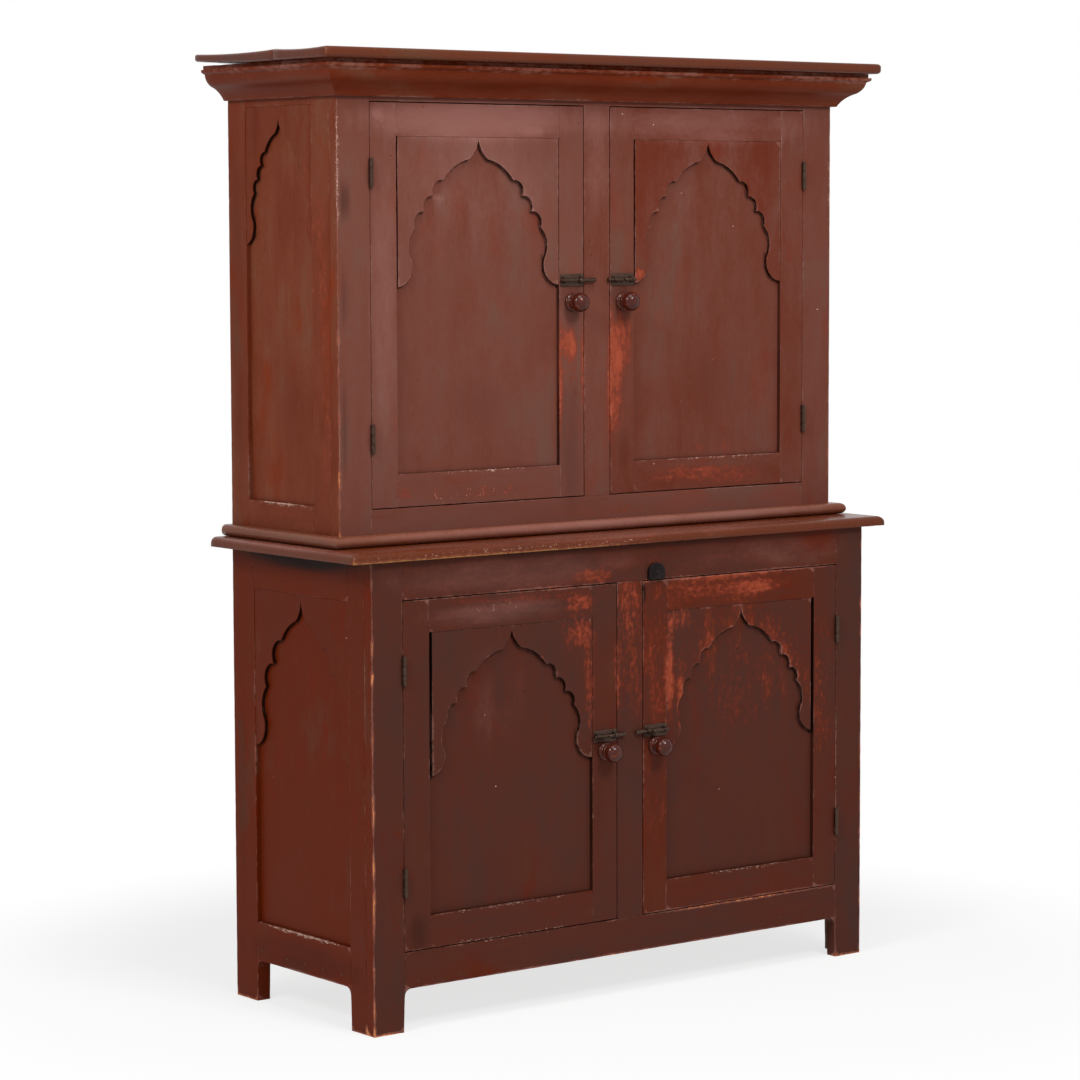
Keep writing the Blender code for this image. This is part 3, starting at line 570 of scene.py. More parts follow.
@dataclass
class Finishes:
    """Every finish of the cupboard, each made once."""

    paint: dict[Grain, bpy.types.Material] = field(init=False)
    polished: dict[Grain, bpy.types.Material] = field(init=False)
    sheltered: dict[Grain, bpy.types.Material] = field(init=False)
    pine: dict[Grain, bpy.types.Material] = field(init=False)
    iron: bpy.types.Material = field(init=False)
    knob: bpy.types.Material = field(init=False)
    slate: bpy.types.Material = field(init=False)

    def __post_init__(self) -> None:
        """Makes the materials."""
        self.paint = {grain: PaintedPine(grain).material() for grain in Grain}
        # Hands and cloths have polished the paint of the counter, the cornice and the waist moulding.
        worn_smooth = {"roughness": 0.24, "specular": 0.14, "relief": 0.12}
        # Their rim colour paints the highlight along their arrises
        hues = {"middle": "#5e2a14", "light": "#7a4734", "bare": "#8c6034", "rim": "#8f5c49"}
        self.polished = {
            grain: PaintedPine(grain, name="polished_paint", **hues, **worn_smooth).material()
            for grain in (Grain.ALONG_X, Grain.ALONG_Y)
        }
        # The sides and the crown take a redder ink for their light tones than the fronts.
        self.sheltered = {
            grain: PaintedPine(grain, name="sheltered_paint", light="#874a34").material()
            for grain in Grain
        }
        self.pine = {grain: AgedPine(grain).material() for grain in Grain}
        self.iron = RustedIron().material()
        # Turned hardwood, painted red-brown and polished by hands, with blotches of 10 mm. It gives
        # the eye a clear soft gleam over a dark red, redder where it is thinnest.
        self.knob = HandledPaint(
            "waxed_turned_knob", "#43170c", "#7e3219", 100.0, 4.0, 0.57, 0.82, 0.17, 0.24
        ).material()
        # Hardwood painted slate grey long ago, scuffed as it turned, with scuffs of 8 mm. It gives
        # the eye a near-black grey with a dull gleam and paler scuffs.
        self.slate = HandledPaint(
            "slate_painted_wood", "#150e0e", "#3a261f", 120.0, 5.0, 0.55, 0.80, 0.34, 0.10, relief=0.4
        ).material()


# Wear


@dataclass(frozen=True)
class Spot:
    """A patch of wear, dirt, dust, painted shade and painted sheen: its kind, its middle, how far it reaches
    along each axis, and its strength.
    """

    kind: Wear
    centre: Triple
    reach: Triple
    strength: float

    def at(self, point: Vector) -> float:
        """The patch's strength at a point, which falls off softly from its middle."""
        far = sum(((point[axis] - self.centre[axis]) / self.reach[axis]) ** 2 for axis in range(3))
        return self.strength * math.exp(-PATCH_FADE * far * far) if far < PATCH_END**2 else 0.0

    def touches(self, low: list[float], high: list[float]) -> bool:
        """Whether the patch comes near a box."""
        ends = [PATCH_END * reach for reach in self.reach]
        return all(low[i] - ends[i] < self.centre[i] < high[i] + ends[i] for i in range(3))


@dataclass
class WearMap:
    """All the patches of wear, dirt, dust, painted shade and painted sheen on the cupboard, and the heights
    and depths that they lie at.
    """

    lower_front: float = -0.219
    upper_front: float = -0.115
    left_wall: float = -CASE_HALF
    rear: float = 0.263
    counter_height: float = 0.94
    hinge_line: float = 0.556
    depth: float = 0.012
    spots: list[Spot] = field(default_factory=list)

    # Each mark, by kind, is its middle across and up, its reach across and up, and its strength.
    upper_marks: tuple = (
        (Wear.RUB, (
            (0.062, 1.31, 0.03, 0.07, 0.92), (0.052, 1.2, 0.022, 0.1, 0.72),
            (0.112, 1.444, 0.016, 0.014, 0.9), (0.114, 1.39, 0.022, 0.034, 1.0),
            (-0.069, 1.31, 0.02, 0.04, 1.05), (-0.066, 1.24, 0.02, 0.06, 0.35),
            (-0.038, 1.24, 0.007, 0.15, 0.9), (-0.097, 1.23, 0.006, 0.15, 1.0),
            (0.033, 1.23, 0.008, 0.19, 0.8), (0.09, 1.2, 0.006, 0.12, 0.85), (-0.3, 1.024, 0.2, 0.016, 0.5),
            (-0.48, 1.033, 0.02, 0.012, 0.7), (0.28, 1.03, 0.2, 0.025, 0.58),
            (0.3, 1.086, 0.19, 0.022, 0.6), (-0.3, 1.084, 0.19, 0.02, 0.52), (0.0, 0.975, 0.25, 0.02, 0.35),
        )),
        (Wear.CHIP, (
            (-0.3, 1.02, 0.2, 0.016, 0.45), (-0.3, 1.067, 0.19, 0.004, 0.62),
            (0.3, 1.067, 0.19, 0.004, 0.66), (-0.403, 1.622, 0.012, 0.012, 0.6),
            (-0.525, 1.74, 0.02, 0.03, 0.4),
        )),
        # Pale haze: dust, and painted sheen on the rails
        (Wear.HAZE, (
            (-0.3, 1.75, 0.32, 0.045, 0.85), (0.3, 1.75, 0.32, 0.045, 0.55), (-0.3, 1.6, 0.2, 0.15, 0.45),
            (0.3, 1.6, 0.2, 0.15, 0.25), (-0.52, 1.4, 0.04, 0.3, 0.4), (0.0, 1.65, 0.03, 0.12, 0.45),
            (-0.533, 1.758, 0.013, 0.011, 1.1), (-0.165, 1.729, 0.026, 0.01, 0.9),
            (-0.387, 1.597, 0.018, 0.011, 1.0),
        )),
        (Wear.GRIME, (
            (-0.3, 1.2, 0.19, 0.11, 0.32), (0.3, 1.22, 0.19, 0.13, 0.36), (-0.47, 1.25, 0.02, 0.18, 0.25),
            (-0.612, 1.594, 0.014, 0.05, 0.5), (-0.614, 1.405, 0.012, 0.08, 0.4),
            (-0.616, 1.16, 0.012, 0.12, 0.4), (-0.066, 1.11, 0.04, 0.17, 0.34),
            (0.07, 1.09, 0.02, 0.06, 0.35), (-0.065, 1.4, 0.04, 0.045, 0.35),
            (0.065, 1.4, 0.04, 0.045, 0.35),
        )),
    )
    lower_marks: tuple = (
        (Wear.RUB, (
            (-0.085, 0.852, 0.07, 0.016, 0.6), (-0.125, 0.802, 0.05, 0.022, 0.7),
            (-0.13, 0.742, 0.045, 0.035, 0.6), (-0.103, 0.62, 0.01, 0.13, 0.7),
            (-0.3, 0.82, 0.14, 0.012, 0.45), (-0.03, 0.64, 0.007, 0.16, 0.75),
            (0.0, 0.79, 0.036, 0.08, 0.56), (0.0, 0.64, 0.036, 0.13, 0.38),
            (0.066, 0.862, 0.04, 0.018, 0.55), (0.23, 0.806, 0.21, 0.026, 0.55),
            (0.34, 0.806, 0.06, 0.018, 0.4), (0.31, 0.831, 0.19, 0.005, 1.0),
            (0.103, 0.665, 0.011, 0.12, 0.92), (0.13, 0.75, 0.045, 0.026, 0.72),
            (0.133, 0.59, 0.012, 0.085, 0.75), (0.064, 0.64, 0.03, 0.16, 0.4),
            (0.064, 0.42, 0.035, 0.2, 0.22), (0.3, 0.61, 0.19, 0.17, 0.62), (0.52, 0.56, 0.035, 0.2, 0.3),
        )),
        (Wear.EDGE, (
            (0.046, 0.829, 0.016, 0.01, 0.42), (-0.3, 0.833, 0.28, 0.006, 0.16),
            (0.3, 0.833, 0.28, 0.006, 0.2), (0.3, 0.155, 0.26, 0.006, 0.34),
            (0.0, 0.084, 0.56, 0.008, 0.24),
        )),
        (Wear.CHIP, (
            (-0.3, 0.221, 0.19, 0.004, 0.68), (0.3, 0.221, 0.19, 0.004, 0.66),
            (-0.33, 0.806, 0.09, 0.025, 0.42), (-0.3, 0.157, 0.26, 0.004, 0.62),
        )),
        # Pale haze: dust, and painted sheen on the rails
        (Wear.HAZE, (
            (-0.3, 0.872, 0.33, 0.04, 0.4), (0.33, 0.872, 0.28, 0.04, 0.22), (-0.33, 0.8, 0.18, 0.026, 0.5),
            (-0.33, 0.62, 0.12, 0.12, 0.3),
        )),
        # Grime and painted shade: the first two marks are the counter's shadow on the rail under it, and the
        # dark hollow of a chipped bite at the right door's top-left corner
        (Wear.GRIME, (
            (0.0, 0.917, 0.64, 0.012, 0.7), (0.037, 0.812, 0.006, 0.024, 1.0),
            (-0.525, 0.19, 0.03, 0.05, 0.4), (-0.3, 0.3, 0.19, 0.07, 0.2), (0.3, 0.3, 0.19, 0.07, 0.2),
            (-0.09, 0.4, 0.03, 0.12, 0.22), (-0.065, 0.52, 0.04, 0.035, 0.35),
            (0.065, 0.52, 0.04, 0.035, 0.4), (0.0, 0.04, 0.64, 0.03, 0.35),
        )),
    )
    side_marks: tuple = (
        (Wear.RUB, (
            (-0.02, 1.5, 0.07, 0.22, 0.42), (-0.075, 1.25, 0.025, 0.35, 0.46),
            (0.08, 1.05, 0.11, 0.022, 0.5), (0.08, 0.985, 0.13, 0.02, 0.5), (0.02, 0.7, 0.13, 0.08, 0.28),
            (0.17, 0.5, 0.03, 0.28, 0.2),
        )),
        (Wear.EDGE, (
            (-0.03, 0.084, 0.13, 0.008, 0.36),
        )),
        (Wear.CHIP, (
            (-0.04, 1.0, 0.03, 0.025, 0.35), (0.02, 0.161, 0.17, 0.004, 1.0),
            (0.08, 1.007, 0.12, 0.004, 1.0),
        )),
        # Grime and painted shade: the third mark is the counter's shadow on the side under its overhang
        (Wear.GRIME, (
            (0.08, 1.22, 0.1, 0.19, 0.32), (0.235, 1.35, 0.03, 0.45, 0.28), (0.02, 0.91, 0.26, 0.032, 1.0),
            (0.02, 0.4, 0.11, 0.12, 0.22), (0.02, 0.11, 0.26, 0.05, 0.4), (0.235, 0.45, 0.025, 0.35, 0.25),
        )),
    )
    # How both front corners are worn down their length, and the bigger flakes that they have lost: the
    # kind, the height, the reach across and up, and the strength.
    corner_wear: tuple = (
        (Wear.EDGE, 1.36, 0.006, 0.60, 0.13),
        (Wear.EDGE, 0.46, 0.006, 0.60, 0.12),
        (Wear.CHIP, 1.66, 0.005, 0.17, 0.78),
        (Wear.EDGE, 1.64, 0.008, 0.012, 0.2), (Wear.EDGE, 1.33, 0.008, 0.016, 0.3),
        (Wear.EDGE, 1.27, 0.008, 0.01, 0.24), (Wear.EDGE, 1.18, 0.008, 0.014, 0.2),
        (Wear.EDGE, 1.063, 0.008, 0.018, 0.34), (Wear.EDGE, 1.02, 0.008, 0.008, 0.28),
        (Wear.EDGE, 0.952, 0.008, 0.016, 0.4), (Wear.EDGE, 0.87, 0.008, 0.01, 0.22),
        (Wear.EDGE, 0.747, 0.008, 0.02, 0.32), (Wear.EDGE, 0.689, 0.008, 0.016, 0.42),
        (Wear.EDGE, 0.56, 0.008, 0.03, 0.22), (Wear.EDGE, 0.43, 0.008, 0.04, 0.3),
        (Wear.EDGE, 0.33, 0.008, 0.03, 0.34), (Wear.EDGE, 0.24, 0.008, 0.05, 0.3),
        (Wear.EDGE, 0.12, 0.008, 0.03, 0.26), (Wear.EDGE, 0.05, 0.008, 0.03, 0.34),
    )
    # The hinges' heights, and the reach and strength of the painted shade round them and of the wear on the
    # feet
    hinge_heights: tuple = (1.139, 1.644, 0.293, 0.698)
    hinge_grime: tuple = ((0.012, 0.012, 0.032), 0.40)
    foot_wear: tuple = ((0.09, 0.09, 0.020), 0.60)

    def __post_init__(self) -> None:
        """Lays the marks on their faces, paints shade round the hinges, and wears the cases' corners and
        feet.
        """
        for marks, front in ((self.upper_marks, self.upper_front), (self.lower_marks, self.lower_front)):
            for kind, rows in marks:
                for across, up, wide, high, strength in rows:
                    self.add(kind, (across, front, up), (wide, self.depth, high), strength)
        for kind, rows in self.side_marks:
            for across, up, wide, high, strength in rows:
                self.add(kind, (self.left_wall, across, up), (self.depth, wide, high), strength)
        for sign in (-1, 1):
            corner, hinge = sign * CASE_HALF, sign * self.hinge_line
            for kind, height, wide, high, strength in self.corner_wear:
                self.add(kind, (corner, self.front_at(height), height), (wide, wide, high), strength)
            for height in self.hinge_heights:
                self.add(Wear.GRIME, (hinge, self.front_at(height), height), *self.hinge_grime)
            for depth in (self.lower_front, self.rear):
                self.add(Wear.EDGE, (corner, depth, 0.0), *self.foot_wear)

    def front_at(self, height: float) -> float:
        """Where the front lies at a height: the lower case stands out further."""
        return self.upper_front if height > self.counter_height else self.lower_front

    def add(self, kind: Wear, centre: tuple, reach: tuple, strength: float) -> None:
        """Adds one patch."""
        self.spots.append(Spot(kind, centre, reach, strength))

    def near(self, low: list[float], high: list[float]) -> list[Spot]:
        """The patches that come near a box."""
        return [spot for spot in self.spots if spot.touches(low, high)]


WEAR_MAP = WearMap()


# Making meshes


@dataclass(frozen=True)
class Box:
    """A block of space, from its lowest corner to its highest."""

    low: Vector
    high: Vector

    @classmethod
    def of(cls, node: str) -> "Box":
        """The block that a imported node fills."""
        low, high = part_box(node)
        return cls(Vector(low), Vector(high))

    @classmethod
    def spanning(cls, x: tuple, y: tuple, z: tuple) -> "Box":
        """The block between two values along each axis, which come in any order."""
        spans = (x, y, z)
        return cls(Vector([min(span) for span in spans]), Vector([max(span) for span in spans]))

    def part(self, **spans: tuple[float, float]) -> "Box":
        """The block with its span along some axes changed.

        Args:
            spans: for x, y or z, the two new values, in any order.

        Returns:
            The changed block.
        """
        low, high = self.low.copy(), self.high.copy()
        for axis, span in spans.items():
            setattr(low, axis, min(span))
            setattr(high, axis, max(span))
        return Box(low, high)

    def middle(self) -> Vector:
        """The block's middle."""
        return (self.low + self.high) / 2

    def holds(self, point: Vector) -> bool:
        """Whether a point lies in the block."""
        return all(self.low[axis] - TINY < point[axis] < self.high[axis] + TINY for axis in range(3))

    def mesh(self) -> BMesh:
        """A solid that fills the block."""
        bm = bmesh.new()
        self.add_to(bm)
        return bm

    def add_to(self, bm: BMesh) -> None:
        """Adds a solid that fills the block to a mesh."""
        place = Matrix.Translation(self.middle()) @ Matrix.Diagonal((*(self.high - self.low), 1))
        bmesh.ops.create_cube(bm, size=1, matrix=place)


class Outline:
    """A flat outline in the XZ plane, drawn with straight runs and arcs."""

    def __init__(self, across: float, up: float, steps: int = 8) -> None:
        """Sets the pen down.

        Args:
            across: where along X the outline starts.
            up: where along Z it starts.
            steps: how many chords each arc gets.
        """
        self.bm = bmesh.new()
        self.steps = steps
        self.first = self.bm.verts.new((across, 0, up))
        self.pen = self.first

    def line(self, across: float, up: float) -> "Outline":
        """Draws a straight run to a point.

        Args:
            across: where the point lies across.
            up: how high it lies.

        Returns:
            The outline, to draw on.
        """
        self.pen = bmesh.ops.extrude_vert_indiv(self.bm, verts=[self.pen])["verts"][0]
        self.pen.co = (across, 0, up)
        return self

    def arc(self, across: float, up: float, rise: float) -> "Outline":
        """Draws an arc to a point.

        Args:
            across: the end along X.
            up: the end along Z.
            rise: the arc's rise as a share of its chord, to the right of the way if above zero.

        Returns:
            The outline, for the next run.
        """
        start, end = self.pen.co.copy(), Vector((across, 0, up))
        chord = end - start
        right = Vector((chord.z, 0, -chord.x))
        half_angle = 2 * math.atan(2 * abs(rise))
        sign = math.copysign(1, rise)
        centre = (start + end) / 2 - right * (sign / (2 * math.tan(half_angle)))
        spun = bmesh.ops.spin(
            self.bm,
            geom=[self.pen],
            cent=centre,
            axis=(0, -1, 0),
            angle=2 * half_angle * sign,
            steps=self.steps,
            use_merge=False,
        )
        self.pen = next(item for item in spun["geom_last"] if isinstance(item, bmesh.types.BMVert))
        self.pen.co = end
        return self

    def face(self) -> BMesh:
        """Closes the outline and fills it."""
        self.bm.edges.new((self.pen, self.first))
        bmesh.ops.contextual_create(self.bm, geom=self.bm.edges[:])
        return self.bm

    def slab(self, near: float, far: float) -> BMesh:
        """Fills the outline and gives it thickness, from one depth to another."""
        return thicken(self.face(), near, far)

    def turned(self, place: tuple, facing: Facing, steps: int) -> BMesh:
        """Turns the outline round its Z axis, as on a lathe, and puts it in its place.

        Args:
            place: where the start of the lathe's centre line goes.
            facing: the way that the centre line looks.
            steps: how many facets the turning gets.

        Returns:
            The turned solid.
        """
        bmesh.ops.spin(
            self.bm,
            geom=self.bm.verts[:] + self.bm.edges[:],
            cent=(0, 0, 0),
            axis=(0, 0, 1),
            angle=math.tau,
            steps=steps,
            use_merge=True,
        )
        tidy(self.bm)
        bmesh.ops.transform(self.bm, matrix=facing.at(place), verts=self.bm.verts)
        return self.bm


def tidy(bm: BMesh) -> None:
    """Merges doubles and turns every face outwards."""
    bmesh.ops.remove_doubles(bm, verts=bm.verts, dist=TINY)
    bmesh.ops.recalc_face_normals(bm, faces=bm.faces)


def thicken(bm: BMesh, near: float, far: float) -> BMesh:
    """Turns a flat shape in the XZ plane to a solid between two depths.

    Args:
        bm: the flat shape.
        near: the depth of its front.
        far: the depth of its back.

    Returns:
        The solid.
    """
    bmesh.ops.translate(bm, vec=(0, near, 0), verts=bm.verts)
    grown = bmesh.ops.extrude_face_region(bm, geom=bm.faces[:], use_keep_orig=True)["geom"]
    moved = [item for item in grown if isinstance(item, bmesh.types.BMVert)]
    bmesh.ops.translate(bm, vec=(0, far - near, 0), verts=moved)
    tidy(bm)
    return bm


def sharp_edges(bm: BMesh) -> list[bmesh.types.BMEdge]:
    """The edges at which a shape turns sharply."""
    return [edge for edge in bm.edges if edge.is_manifold and edge.calc_face_angle(0) > SHARP_ANGLE]


def round_over(bm: BMesh, edges: list, radius: float, segments: int, clamp: bool = False) -> None:
    """Rounds some edges of a solid.

    Args:
        bm: the solid.
        edges: the edges.
        radius: the rounding's radius.
        segments: how many facets it gets.
        clamp: whether neighbouring roundings are kept from crossing.
    """
    bmesh.ops.bevel(
        bm,
        geom=edges,
        offset=radius,
        offset_type="OFFSET",
        segments=segments,
        profile=0.5,
        affect="EDGES",
        clamp_overlap=clamp,
        material=-1,
    )


def soften(bm: BMesh, radius: float, segments: int = 2) -> None:
    """Rounds every sharp edge of a solid a little, as sandpaper and hands do."""
    round_over(bm, sharp_edges(bm), radius, segments, clamp=True)


def cut_at(bm: BMesh, axis: int, places: list[float], clear: int = 0) -> None:
    """Cuts a mesh's faces at places along an axis.

    Args:
        bm: the mesh.
        axis: the axis.
        places: where along it the cuts go.
        clear: -1 or 1 to clear away what lies that way of each cut, or 0 to keep it all.
    """
    normal = Vector((0, 0, 0))
    normal[axis] = clear or 1
    for place in places:
        bmesh.ops.bisect_plane(
            bm,
            geom=bm.verts[:] + bm.edges[:] + bm.faces[:],
            dist=TINY,
            plane_co=normal * (place * normal[axis]),
            plane_no=normal,
            clear_outer=bool(clear),
        )


def cut_grid(bm: BMesh, step: float) -> None:
    """Cuts a mesh to a grid, so that its attributes and its dents have points to lie on.

    Args:
        bm: the mesh.
        step: the most that two cuts lie apart.
    """
    for axis in range(3):
        places = [vert.co[axis] for vert in bm.verts]
        low, high = min(places), max(places)
        count = round((high - low) / step)
        cut_at(bm, axis, [low + (high - low) * number / count for number in range(1, count)])


class EdgeFinder:
    """Finds how far a point is from the sharp edges that a shape has before they are rounded."""

    spacing = 0.003

    def __init__(self, bm: BMesh) -> None:
        """Walks the sharp edges and keeps points on them.

        Args:
            bm: the solid, not softened yet.
        """
        points = []
        for edge in sharp_edges(bm):
            start, end = edge.verts[0].co, edge.verts[1].co
            count = max(1, round((end - start).length / self.spacing))
            points += [start.lerp(end, number / count) for number in range(count + 1)]
        self.tree = kdtree.KDTree(max(1, len(points)))
        for number, point in enumerate(points):
            self.tree.insert(point, number)
        self.tree.balance()

    def closeness(self, point: Vector, reach: float = EDGE_REACH) -> float:
        """How near a point is to an edge: 1 on it, and nothing from the reach away."""
        found = self.tree.find(point)
        return max(0.0, 1 - found[2] / reach) if found[0] is not None else 0.0


def new_object(name: str, data: bpy.types.ID) -> bpy.types.Object:
    """Makes an object of a mesh, a lamp or a camera and puts it in the scene.

    Args:
        name: the object's name.
        data: what it is made of.

    Returns:
        The object.
    """
    made = bpy.data.objects.new(name, data)
    bpy.context.scene.collection.objects.link(made)
    return made


@dataclass
class Piece:
    """What every piece has: its name, the body that it rides on and the nodes that it stands for."""

    name: str
    body: str
    nodes: tuple[str, ...]
    slot: str

    def place(self, bm: BMesh, *materials: bpy.types.Material, smooth: bool = True) -> bpy.types.Object:
        """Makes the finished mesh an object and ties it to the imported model.

        Args:
            bm: the finished mesh, which is used up.
            materials: the materials of its slots.
            smooth: whether its gentle turns are shaded smooth.

        Returns:
            The object.
        """
        mesh = bpy.data.meshes.new(self.name)
        bm.to_mesh(mesh)
        bm.free()
        for material in materials:
            mesh.materials.append(material)
        if smooth:
            mesh.shade_smooth()
            mesh.set_sharp_from_angle(angle=SHARP_ANGLE)
        made = new_object(self.name, mesh)
        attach(made, self.body)
        if self.nodes:
            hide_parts(*self.nodes)
        LOG.info("%s: %d faces, on %s", self.name, len(mesh.polygons), self.body)
        return made


@dataclass
class Timber(Piece):
    """One board, cut, softened at its arrises, dented by use and dressed with its wear and painted shade."""

    grain: Grain = Grain.ALONG_Z
    tone: float = 0.4
    # The way that its bare side looks, where it has one: the face opposite is painted.
    bare_side: Triple | None = None
    arris: float = 0.0008
    # How strongly its edges wear, which also lays the painted highlight along its arrises
    edge_wear: float = 0.74
    # The grid that its wear is written on, and the places of further cuts by axis.
    step: float = 0.012
    cuts: dict[int, list[float]] = field(default_factory=dict)
    smooth: bool = False
    slot: str = "painted_pine"
    coat: str = "paint"
    # Whether the paint turns with its nose, and the tone of an outer side that has one of its own.
    wraps: bool = False
    flank_tone: float | None = None
    # The painted shade on its edges behind the face, the gaps beside it that are painted dark as
    # shadow, and the edges over it that lay painted shade in the corner beneath.
    wall_grime: float = 0.0
    shadows: tuple = ()
    crevice: "EdgeFinder | None" = None

    def build(self, bm: BMesh, finishes: Finishes) -> None:
        """Finishes a board from its bare solid.

        Args:
            bm: the solid, with its sharp edges still on it.
            finishes: the cupboard's finishes.
        """
        finder = EdgeFinder(bm)
        soften(bm, self.arris)
        for axis, places in self.cuts.items():
            cut_at(bm, axis, places)
        if self.wall_grime:
            axis, face, way = self.painted_face([vert.co for vert in bm.verts])
            cut_at(bm, axis, [face + way * SHADE_CUT * self.arris])
        cut_grid(bm, self.step)
        closeness = [finder.closeness(vert.co) for vert in bm.verts]
        self.dent(bm, closeness)
        coat = getattr(finishes, self.coat)
        materials = [coat[self.grain], finishes.pine[self.grain]]
        if self.bare_side is not None:
            way = Vector(self.bare_side)
            for face in bm.faces:
                face.material_index = int(face.normal.dot(way) > SQUARE_ON)
        if self.wraps:
            # The brush followed the nose round the corner, so the ends' grain runs from front to rear.
            materials.append(coat[Grain.ALONG_Y])
            for face in bm.faces:
                if abs(face.normal.x) > max(END_ON, abs(face.normal.y)):
                    face.material_index = 2
        flanked: set[int] = set()
        if self.flank_tone is not None:
            # Its outer side is part of the case's side, and painted with it.
            materials.append(finishes.sheltered[self.grain])
            bm.verts.index_update()
            for face in bm.faces:
                out = abs(face.verts[0].co.x) > CASE_HALF - 2 * self.arris
                if out and abs(face.normal.x) > SQUARE_ON:
                    face.material_index = 2
                    flanked.update(vert.index for vert in face.verts)
        made = self.place(bm, *materials, smooth=self.smooth)
        self.write_wear(made.data, closeness, flanked)

    def painted_face(self, points: list[Vector]) -> tuple[int, float, float]:
        """Finds the face opposite the bare side.

        Args:
            points: the board's points.

        Returns:
            The face's axis, where it lies, and the way into the board.
        """
        bare = self.bare_side or (0.0, 1.0, 0.0)
        axis = 0 if bare[0] else 1
        places = [point[axis] for point in points]
        return axis, min(places) if bare[axis] > 0 else max(places), bare[axis]

    def grime_at(self, point: Vector, axis: int, face: float, way: float) -> float:
        """The painted shade that lies behind the face, in the corners and in dark gaps, on top of what the
        wear map gives.

        Args:
            point: a point of the board.
            axis: the painted face's axis.
            face: where the painted face lies.
            way: the way into the board.

        Returns:
            How dark the painted shade at the point is.
        """
        grime = self.wall_grime if (point[axis] - face) * way > SHADE_START * self.arris else 0.0
        if self.crevice is not None:
            grime = max(grime, CREVICE_SHADE * self.crevice.closeness(point, CREVICE_REACH))
        return max([grime] + [MOST_WEAR_AND_SHADE for box in self.shadows if box.holds(point)])

    def dent(self, bm: BMesh, closeness: list[float]) -> None:
        """Wears the arrises back unevenly, by up to a millimetre.

        Args:
            bm: the board.
            closeness: how near each point is to a sharp edge.
        """
        # Only the points on the arris itself move: those within one and a half arrises of the edge.
        on_arris = 1 - 1.5 * self.arris / EDGE_REACH
        bm.normal_update()
        moves = []
        for vert, near in zip(bm.verts, closeness):
            if near > on_arris:
                # Dents 17 mm long, with smaller ones of 5 mm in them.
                rough = noise.noise(vert.co * 60) + 0.5 * noise.noise(vert.co * 190)
                moves.append((vert, vert.normal * max(0.0, rough) * self.arris * 1.2 * self.edge_wear))
        for vert, move in moves:
            vert.co -= move

    def write_wear(self, mesh: bpy.types.Mesh, closeness: list[float], flanked: set[int]) -> None:
        """Writes the board's wear and veil attributes.

        Args:
            mesh: the board's mesh.
            closeness: how near each point is to a sharp edge.
            flanked: the points that take the flank's tone.
        """
        # No two boards took the paint quite alike.
        tone = self.tone + random.Random(self.name).uniform(-0.05, 0.05)
        points = [vert.co for vert in mesh.vertices]
        spans = [[point[axis] for point in points] for axis in range(3)]
        spots = WEAR_MAP.near([min(span) for span in spans], [max(span) for span in spans])
        layers = {"wear": [], "veil": []}
        painted = self.painted_face(points)
        for index, (point, near) in enumerate(zip(points, closeness)):
            grime = self.grime_at(point, *painted)
            shade = self.flank_tone if index in flanked else tone
            values = {"wear": [0.0, grime, near * self.edge_wear, 1.0], "veil": [0.0, 0.0, shade, 1.0]}
            for spot in spots:
                attribute, channel = spot.kind.value
                values[attribute][channel] += spot.at(point) * (near if spot.kind is Wear.EDGE else 1.0)
            for name, layer in layers.items():
                layer += [min(MOST_WEAR_AND_SHADE, value) for value in values[name]]
        for name, layer in layers.items():
            mesh.color_attributes.new(name, "FLOAT_COLOR", "POINT").data.foreach_set("color", layer)


# The cases


@dataclass(frozen=True)
class Legs:
    """How the lower case's boards end: stiles in tapered feet, rails in a small arc down to each foot."""

    height: float = 0.084
    arc: float = 0.015
    taper: float = 0.002

    def stile(self, outer: float, inner: float, top: float) -> Outline:
        """A stile's outline, with its foot tapered on the inner side.

        Args:
            outer: its outer edge.
            inner: its inner edge.
            top: its top.

        Returns:
            The outline.
        """
        taper = math.copysign(self.taper, outer - inner)
        stile = Outline(outer, 0).line(inner + taper, 0)
        return stile.line(inner, self.height - self.arc).line(inner, top).line(outer, top)

    def rail(self, low: float, high: float, top: float) -> Outline:
        """The bottom rail's outline, with a small arc down to each leg.

        Args:
            low: its left end.
            high: its right end.
            top: its upper edge.

        Returns:
            The outline.
        """
        foot, arc = self.height - self.arc, self.arc
        rail = Outline(low, foot).arc(low + arc, self.height, -QUARTER_RISE)
        rail.line(high - arc, self.height).arc(high, foot, -QUARTER_RISE)
        return rail.line(high, top).line(low, top)


